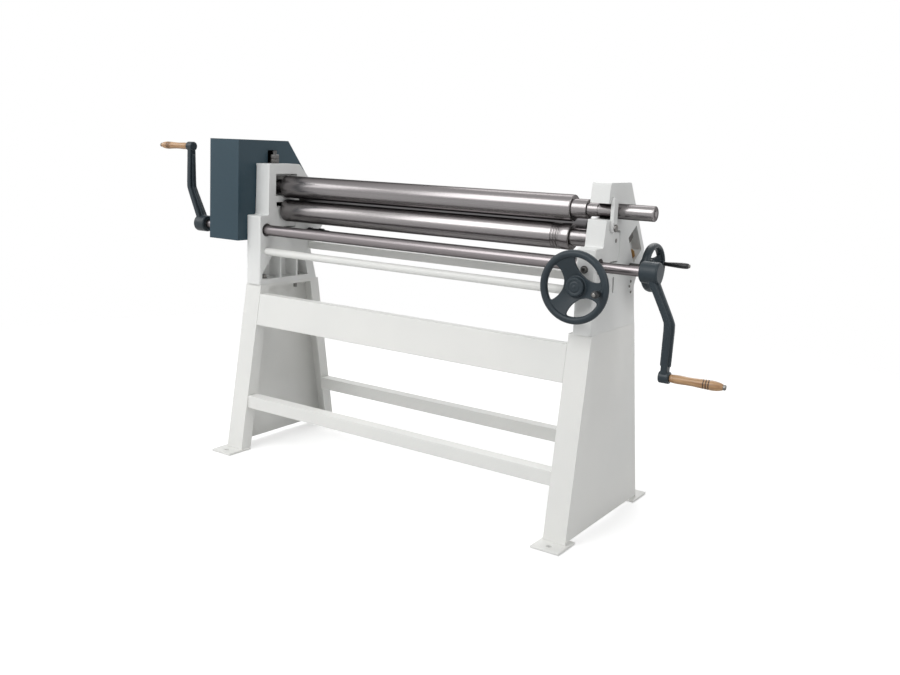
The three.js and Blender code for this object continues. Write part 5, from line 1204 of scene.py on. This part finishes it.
@dataclass
class Castings:
    """The side frames, the bearing blocks and the keeper: cast and machined bodies with softened edges."""

    bench: Bench
    palette: Palette
    edge: float = 0.0025
    upright_edge: float = 0.008
    upright_least: float = 0.06
    upright_share: float = 0.99
    square_within: float = 0.2
    front_facing: float = 0.9
    block_edge: float = 0.0012
    sharp: float = 50.0

    def build(self) -> None:
        """Dresses the castings."""
        for node in ("side_frame_left", "side_frame_right"):
            piece = self.bench.copied(node, 0.0)
            self.round_uprights(piece)
            self.bench.soften(piece, self.edge, 2, self.sharp)
            self.bench.shade_flats(piece)
            self.bench.stand_for(piece, node, self.palette.casting)
        blocks = {
            "lower_bearing_left": self.palette.casting,
            "lower_bearing_right": self.palette.casting,
            "yoke_keeper": self.palette.casting,
            "rear_bearing_left": self.palette.gear,
            "rear_bearing_right": self.palette.gear,
            "upper_bearing_left": self.palette.gear,
        }
        for node, finish in blocks.items():
            self.bench.stand_for(self.bench.copied(node, self.block_edge, 2, self.sharp), node, finish)

    def round_uprights(self, piece: bpy.types.Object) -> None:
        """Rounds the long upright corners on a frame's front more than its other edges.

        Args:
            piece: The frame's copy.
        """
        mesh = piece.data
        beside: dict[tuple[int, int], list[bpy.types.MeshPolygon]] = {}
        for face in mesh.polygons:
            for key in face.edge_keys:
                beside.setdefault(key, []).append(face)
        chosen = []
        for edge in mesh.edges:
            run = mesh.vertices[edge.vertices[1]].co - mesh.vertices[edge.vertices[0]].co
            faces = beside[edge.key]
            least = max(self.upright_least, self.upright_share * run.length)
            if abs(run.z) < least or len(faces) != 2:
                continue
            square = abs(faces[0].normal.dot(faces[1].normal)) < self.square_within
            proud = faces[0].normal.dot(faces[1].center - faces[0].center) < 0.0
            forward = min(faces[0].normal.y, faces[1].normal.y) < -self.front_facing
            if square and proud and forward:
                chosen.append(edge.index)
        self.bench.pick(piece)
        bpy.ops.object.mode_set(mode="EDIT")
        bpy.ops.mesh.select_mode(type="EDGE")
        bpy.ops.mesh.select_all(action="DESELECT")
        bpy.ops.object.mode_set(mode="OBJECT")
        for index in chosen:
            mesh.edges[index].select = True
        bpy.ops.object.mode_set(mode="EDIT")
        bpy.ops.mesh.bevel(offset=self.upright_edge, segments=4, affect="EDGES")
        bpy.ops.mesh.select_mode(type="VERT")
        bpy.ops.object.mode_set(mode="OBJECT")
        LOG.info("%s: %d upright corners rounded", piece.name, len(chosen))


@dataclass
class Stand:
    """The folded legs, foot plates, beam, rails and ties."""

    bench: Bench
    palette: Palette
    fold: float = 0.0022
    sharp: float = 50.0
    rod_radius: float = 0.015
    rod_edge: float = 0.0008

    def build(self) -> None:
        """Dresses the stand and the two ties between the frames."""
        sheets = (
            "leg_left",
            "leg_right",
            "foot_front_left",
            "foot_rear_left",
            "foot_front_right",
            "foot_rear_right",
            "front_beam",
            "front_rail",
            "rear_rail",
            "rear_tie_bar",
        )
        for node in sheets:
            self.bench.stand_for(self.bench.copied(node, self.fold, 3, self.sharp), node, self.palette.white)
        low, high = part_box("front_tie_rod")
        profile = [(0.0, self.rod_radius), (high.x - low.x, self.rod_radius)]
        rod = self.bench.turned("front_tie_rod_drawn", left_end_of("front_tie_rod"), Axis.X, profile, 64)
        self.bench.soften(rod, self.rod_edge)
        self.bench.shade(rod)
        self.bench.stand_for(rod, "front_tie_rod", self.palette.white)


@dataclass
class Cover:
    """The folded gear cover."""

    bench: Bench
    palette: Palette
    fold: float = 0.0011
    sharp: float = 25.0

    def build(self) -> None:
        """Dresses the cover."""
        cover = self.bench.copied("gear_cover", self.fold, 3, self.sharp)
        self.bench.stand_for(cover, "gear_cover", self.palette.slate)


@dataclass
class Hardware:
    """Bolts, nuts, studs and small screws."""

    bench: Bench
    palette: Palette
    datum: Datum
    bolt_radius: float = 0.008
    bolt_head: float = 0.012
    bolt_across: float = 0.024
    bolt_plain: float = 0.03
    washer: float = 0.016
    washer_edge: float = 0.0004
    washer_height: float = 0.003
    thread_pitch: float = 0.0015
    thread_end: float = 0.0015
    thread_crest: float = 0.0002
    thread_root: float = 0.0009
    stud_radius: float = 0.010
    nut_across: float = 0.034
    nut_height: float = 0.018
    screw_washer: float = 0.002
    screw_edge: float = 0.001
    front_screw: tuple[float, float] = (1.417, 0.888)
    front_screw_size: tuple[float, float] = (0.0085, 0.008)
    side_screw_size: tuple[float, float] = (0.0030, 0.0025)
    side_screws: tuple[tuple[float, float], ...] = ((0.145, 0.827), (0.137, 0.811), (0.150, 0.790))
    block_screw_behind: float = 0.004
    block_screw_across: float = 0.013
    block_screw_height: float = 0.0015

    def threaded(self, length: float, radius: float, plain: float) -> list[tuple[float, float]]:
        """A bar's profile with thread crests up to a plain shank.

        Args:
            length: Its length.
            radius: Its radius.
            plain: Length left plain at its far end.

        Returns:
            Pairs of distance and radius.
        """
        profile = [(0.0, radius - self.thread_end)]
        turns = int((length - plain) / self.thread_pitch)
        for i in range(1, turns):
            depth = self.thread_crest if i % 2 else self.thread_root
            profile.append((i * self.thread_pitch, radius - depth))
        profile += [(length - plain, radius), (length, radius)]
        return profile

    def base_bolts(self) -> None:
        """The four bolts that hold the frames on the legs."""
        washer_profile = [
            (0.0, self.washer - self.washer_edge),
            (self.washer_edge, self.washer),
            (self.washer_height, self.washer - 0.0005),
        ]
        for name in ("front_left", "rear_left", "front_right", "rear_right"):
            node = f"base_bolt_{name}"
            low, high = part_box(node)
            foot = foot_of(node)
            under_washer = high.z - low.z - self.bolt_head - self.washer_height
            profile = self.threaded(under_washer, self.bolt_radius, self.bolt_plain)
            shank = self.bench.turned(f"{node}_steel", foot, Axis.Z, profile, 32)
            lift = Vector((0.0, 0.0, under_washer))
            washer = self.bench.turned("washer", foot + lift, Axis.Z, washer_profile, 40)
            head_foot = foot + lift + Vector((0.0, 0.0, self.washer_height))
            head = self.bench.hexagon("head", head_foot, Axis.Z, self.bolt_across, self.bolt_head)
            bolt = self.bench.merged([shank, washer, head])
            self.bench.shade(bolt)
            self.bench.stand_for(bolt, node, self.palette.bolt)

    def stud(self) -> None:
        """The adjusting stud with its two nuts."""
        low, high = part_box("adjusting_stud")
        foot = foot_of("adjusting_stud")
        profile = self.threaded(high.z - low.z, self.stud_radius, SHAFT_EDGE)
        stud = self.bench.turned("adjusting_stud_threaded", foot, Axis.Z, profile, 40)
        self.bench.shade(stud, 25.0)
        self.bench.stand_for(stud, "adjusting_stud", self.palette.gear)
        for node in ("adjusting_nut", "lock_nut"):
            seat = Vector((foot.x, foot.y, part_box(node)[0].z))
            nut = self.bench.hexagon(f"{node}_steel", seat, Axis.Z, self.nut_across, self.nut_height)
            self.bench.shade(nut)
            self.bench.stand_for(nut, node, self.palette.gear)

    def socket_screw(
        self, name: str, seat: Vector, axis: Axis, outward: float, radius: float, height: float
    ) -> None:
        """A socket head screw on a washer.

        Args:
            name: The piece's name.
            seat: Where its washer lies.
            axis: The screw's axis.
            outward: Which way it stands along the axis, 1 or -1.
            radius: Radius of its head.
            height: Height of its head.
        """
        shape = [
            (0.0, radius * 1.5),
            (self.screw_washer, radius * 1.5),
            (self.screw_washer, radius),
            (height - self.screw_edge, radius),
            (height, radius - self.screw_edge),
            (height, radius * 0.55),
            (height * 0.45, radius * 0.5),
        ]
        screw = self.bench.turned(name, seat, axis, [(outward * along, r) for along, r in shape], 36)
        self.bench.shade(screw)
        self.bench.hand_over(screw, self.palette.bolt, "base", "ground_steel")

    def small_screws(self) -> None:
        """The screws on the right frame's front and outer faces and in the right bearing block."""
        at = self.datum.at
        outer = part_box("side_frame_right")[1].x - self.datum.origin.x
        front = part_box("side_frame_right")[0].y - self.datum.origin.y
        x, z = self.front_screw
        self.socket_screw("frame_front_screw", at(x, front, z), Axis.Y, -1.0, *self.front_screw_size)
        for i, (y, z) in enumerate(self.side_screws):
            name = f"frame_side_screw_{i + 1}"
            self.socket_screw(name, at(outer, y, z), Axis.X, 1.0, *self.side_screw_size)
        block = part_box("lower_bearing_right")[1].x
        centre = centre_of("lower_roll")
        seat = Vector((block, centre.y + self.block_screw_behind, centre.z))
        size = self.block_screw_across, self.block_screw_height
        head = self.bench.hexagon("lower_bearing_screw", seat, Axis.X, *size)
        self.bench.shade(head)
        self.bench.hand_over(head, self.palette.bolt, "lower_carriage", "ground_steel")

    def build(self) -> None:
        """Makes the fasteners."""
        self.base_bolts()
        self.stud()
        self.small_screws()


@dataclass
class Mechanism:
    """The gears, shafts, screws, nuts and bushes, most of them inside the cover and the frames."""

    bench: Bench
    palette: Palette
    clutch_radius: float = 0.014
    collar: float = 0.016
    waist: float = 0.003
    neck: float = 0.004

    def carried_over(self) -> None:
        """Gives the nodes that are already as fine as they need to be their finishes."""
        finishes = {
            "large_gear": self.palette.gear,
            "drive_pinion": self.palette.gear,
            "upper_roll_gear": self.palette.gear,
            "lower_roll_gear": self.palette.gear,
            "cross_shaft": self.palette.gear,
            "lift_shaft": self.palette.shaft,
            "front_wheel_shaft": self.palette.shaft,
            "rear_screw_left": self.palette.shaft,
            "rear_screw_right": self.palette.shaft,
            "keeper_pin": self.palette.bolt,
            "upper_bearing_right": self.palette.shaft,
            "shaft_bush_left": self.palette.gear,
            "shaft_bush_right": self.palette.gear,
            "lift_worm_wheel": self.palette.bronze,
            "rear_nut_left": self.palette.bronze,
            "rear_nut_right": self.palette.bronze,
        }
        for node, finish in finishes.items():
            solid = frame["nodes"][node]
            for slot in solid.material_slots:
                slot.material = finish
            LOG.info("%s: carried over", node)

    def clutch(self) -> None:
        """The dark sleeve on the cross shaft, with its collars."""
        low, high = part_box("cross_shaft_clutch")
        length = high.x - low.x
        r = self.clutch_radius
        profile = [
            (0.0, r - 0.001),
            (0.001, r),
            (self.collar, r),
            (self.collar + 0.002, r - self.waist),
            (0.50 * length, r - self.waist),
            (0.52 * length, r),
            (0.70 * length, r),
            (0.72 * length, r - self.neck),
            (length - 0.001, r - 0.006),
            (length, r - 0.007),
        ]
        sleeve = self.bench.turned("cross_shaft_sleeve", left_end_of("cross_shaft_clutch"), Axis.X, profile, 48)
        self.bench.shade(sleeve)
        self.bench.stand_for(sleeve, "cross_shaft_clutch", self.palette.black)

    def build(self) -> None:
        """Finishes the mechanism."""
        self.carried_over()
        self.clutch()


@dataclass(frozen=True)
class Lamp:
    """A soft square lamp: its name, its place in the frame, its side and its power in watts."""

    name: str
    place: tuple[float, float, float]
    size: float
    power: float

    def hang(self, target: Vector) -> None:
        """Hangs the lamp in the studio.

        Args:
            target: Where it looks.
        """
        data = bpy.data.lights.new(self.name, "AREA")
        data.size = self.size
        data.energy = self.power
        lamp = bpy.data.objects.new(self.name, data)
        lamp.location = self.place
        lamp.rotation_euler = (target - Vector(self.place)).to_track_quat("-Z", "Y").to_euler()
        bpy.context.scene.collection.objects.link(lamp)


@dataclass
class Studio:
    """A pale floor, soft lamps, a white surround and the camera of the photograph."""

    datum: Datum
    camera_place: tuple[float, float, float] = (2.70226, -2.88357, 1.25213)
    yaw: float = 34.63
    pitch: float = -8.35
    roll: float = 2.21
    focal_pixels: float = 949.51
    principal: tuple[float, float] = (426.41, 286.55)
    picture: tuple[int, int] = (900, 675)
    sensor: float = 36.0
    lit_height: float = 0.7
    surround: float = 0.32
    floor_radius: float = 9.0
    floor_drop: float = 0.0005
    floor_fade: tuple[float, float] = (1.8, 3.6)
    floor_lift: float = 0.42
    lamps: tuple[Lamp, ...] = (
        Lamp("key", (-1.2, -4.4, 4.2), 3.8, 185.0),
        Lamp("fill", (4.6, -1.2, 3.4), 3.0, 60.0),
        Lamp("back", (-0.6, 2.8, 4.0), 3.4, 90.0),
        Lamp("side", (-4.6, -2.2, 3.0), 2.4, 50.0),
    )

    def camera(self) -> None:
        """Sets the camera where the photograph was taken from."""
        yaw, pitch, roll = (math.radians(angle) for angle in (self.yaw, self.pitch, self.roll))
        ahead = Vector((-math.sin(yaw) * math.cos(pitch), math.cos(yaw) * math.cos(pitch), math.sin(pitch)))
        level = Vector((math.cos(yaw), math.sin(yaw), 0.0))
        above = level.cross(ahead)
        right = level * math.cos(roll) + above * math.sin(roll)
        up = above * math.cos(roll) - level * math.sin(roll)
        data = bpy.data.cameras.new("camera")
        camera = bpy.data.objects.new("camera", data)
        bpy.context.scene.collection.objects.link(camera)
        turn = Matrix((right, up, -ahead)).transposed().to_4x4()
        camera.matrix_world = Matrix.Translation(self.datum.at(*self.camera_place)) @ turn
        width, height = self.picture
        data.sensor_width = self.sensor
        data.lens = self.sensor * self.focal_pixels / width
        data.shift_x = (width / 2 - self.principal[0]) / width
        data.shift_y = (self.principal[1] - height / 2) / width
        bpy.context.scene.camera = camera

    def world(self) -> None:
        """A white surround for the camera and for reflections, and a softer one that lights the machine."""
        world = bpy.data.worlds.new("surround")
        bpy.context.scene.world = world
        world.use_nodes = True
        tree = world.node_tree
        tree.nodes.clear()
        path = tree.nodes.new("ShaderNodeLightPath")
        seen = tree.nodes.new("ShaderNodeMath")
        seen_or_glass = tree.nodes.new("ShaderNodeMath")
        for either in (seen, seen_or_glass):
            either.operation = "MAXIMUM"
        white = tree.nodes.new("ShaderNodeBackground")
        light = tree.nodes.new("ShaderNodeBackground")
        light.inputs["Strength"].default_value = self.surround
        choice = tree.nodes.new("ShaderNodeMixShader")
        output = tree.nodes.new("ShaderNodeOutputWorld")
        for node in (white, light):
            node.inputs["Color"].default_value = (1.0, 1.0, 1.0, 1.0)
        join = tree.links.new
        join(path.outputs["Is Camera Ray"], seen.inputs[0])
        join(path.outputs["Is Glossy Ray"], seen.inputs[1])
        join(seen.outputs[0], seen_or_glass.inputs[0])
        join(path.outputs["Is Transmission Ray"], seen_or_glass.inputs[1])
        join(seen_or_glass.outputs[0], choice.inputs["Fac"])
        join(light.outputs[0], choice.inputs[1])
        join(white.outputs[0], choice.inputs[2])
        join(choice.outputs[0], output.inputs["Surface"])

    def floor(self) -> None:
        """A pale floor that fades into the white surround away from the machine."""
        bpy.ops.object.select_all(action="DESELECT")
        bpy.ops.mesh.primitive_circle_add(
            vertices=96, radius=self.floor_radius, fill_type="NGON", location=(0.0, 0.0, -self.floor_drop)
        )
        floor = bpy.context.object
        floor.name = "floor"
        sheet = NodeSheet("pale_floor")
        sheet.give("Base Color", sheet.blend(sheet.noise(1.5, 2.0), (0.83, 0.83, 0.83), (0.80, 0.80, 0.80)))
        sheet.give("Roughness", 0.9)
        sheet.give("Specular IOR Level", 0.0)
        tree = sheet.tree
        seen = tree.nodes.new("ShaderNodeLightPath").outputs["Is Camera Ray"]
        sheet.give("Emission Color", (1.0, 1.0, 1.0))
        sheet.give("Emission Strength", sheet.span(seen, 0.0, 1.0, 0.0, self.floor_lift))
        reach = tree.nodes.new("ShaderNodeVectorMath")
        reach.operation = "LENGTH"
        tree.links.new(sheet.coordinates, reach.inputs[0])
        sheet.give("Alpha", sheet.span(reach.outputs["Value"], *self.floor_fade, 1.0, 0.0))
        floor.data.materials.append(sheet.material)

    def build(self) -> None:
        """Sets up the camera, the lamps, the surround and the floor."""
        self.camera()
        self.world()
        self.floor()
        for lamp in self.lamps:
            lamp.hang(Vector((0.0, 0.0, self.lit_height)))
        bpy.context.scene.view_settings.view_transform = "Standard"


def main() -> None:
    """Builds the machine's looks in order."""
    logging.basicConfig(level=logging.INFO, format="%(message)s", stream=sys.stdout)
    bench, palette, datum = Bench(), Palette(), Datum()
    Studio(datum).build()
    Castings(bench, palette).build()
    Stand(bench, palette).build()
    Cover(bench, palette).build()
    Rolls(bench, palette, datum).build()
    Drive(bench, palette, datum).build()
    Handwheel(
        bench,
        palette,
        which=Wheel.FRONT,
        radius=0.1175,
        handle_at=0.090,
        handle_length=0.034,
        handle_root=0.010,
        handle_end=0.012,
        spin=6.0,
        about_z=0.0,
        shaft_node="front_wheel_shaft",
        window_at=0.112,
        window_radius=0.070,
        hub_radius=0.031,
        rim=0.0125,
    ).build()
    Handwheel(
        bench,
        palette,
        which=Wheel.SIDE,
        radius=0.0825,
        handle_at=0.064,
        handle_length=0.086,
        handle_root=0.007,
        handle_end=0.010,
        spin=-8.0,
        about_z=90.0,
        shaft_node="cross_shaft",
        window_at=0.0685,
        window_radius=0.0345,
        rim_depth=0.0145,
        hub_radius=0.027,
    ).build()
    Mechanism(bench, palette).build()
    Hardware(bench, palette, datum).build()


if __name__ == "__main__":
    main()
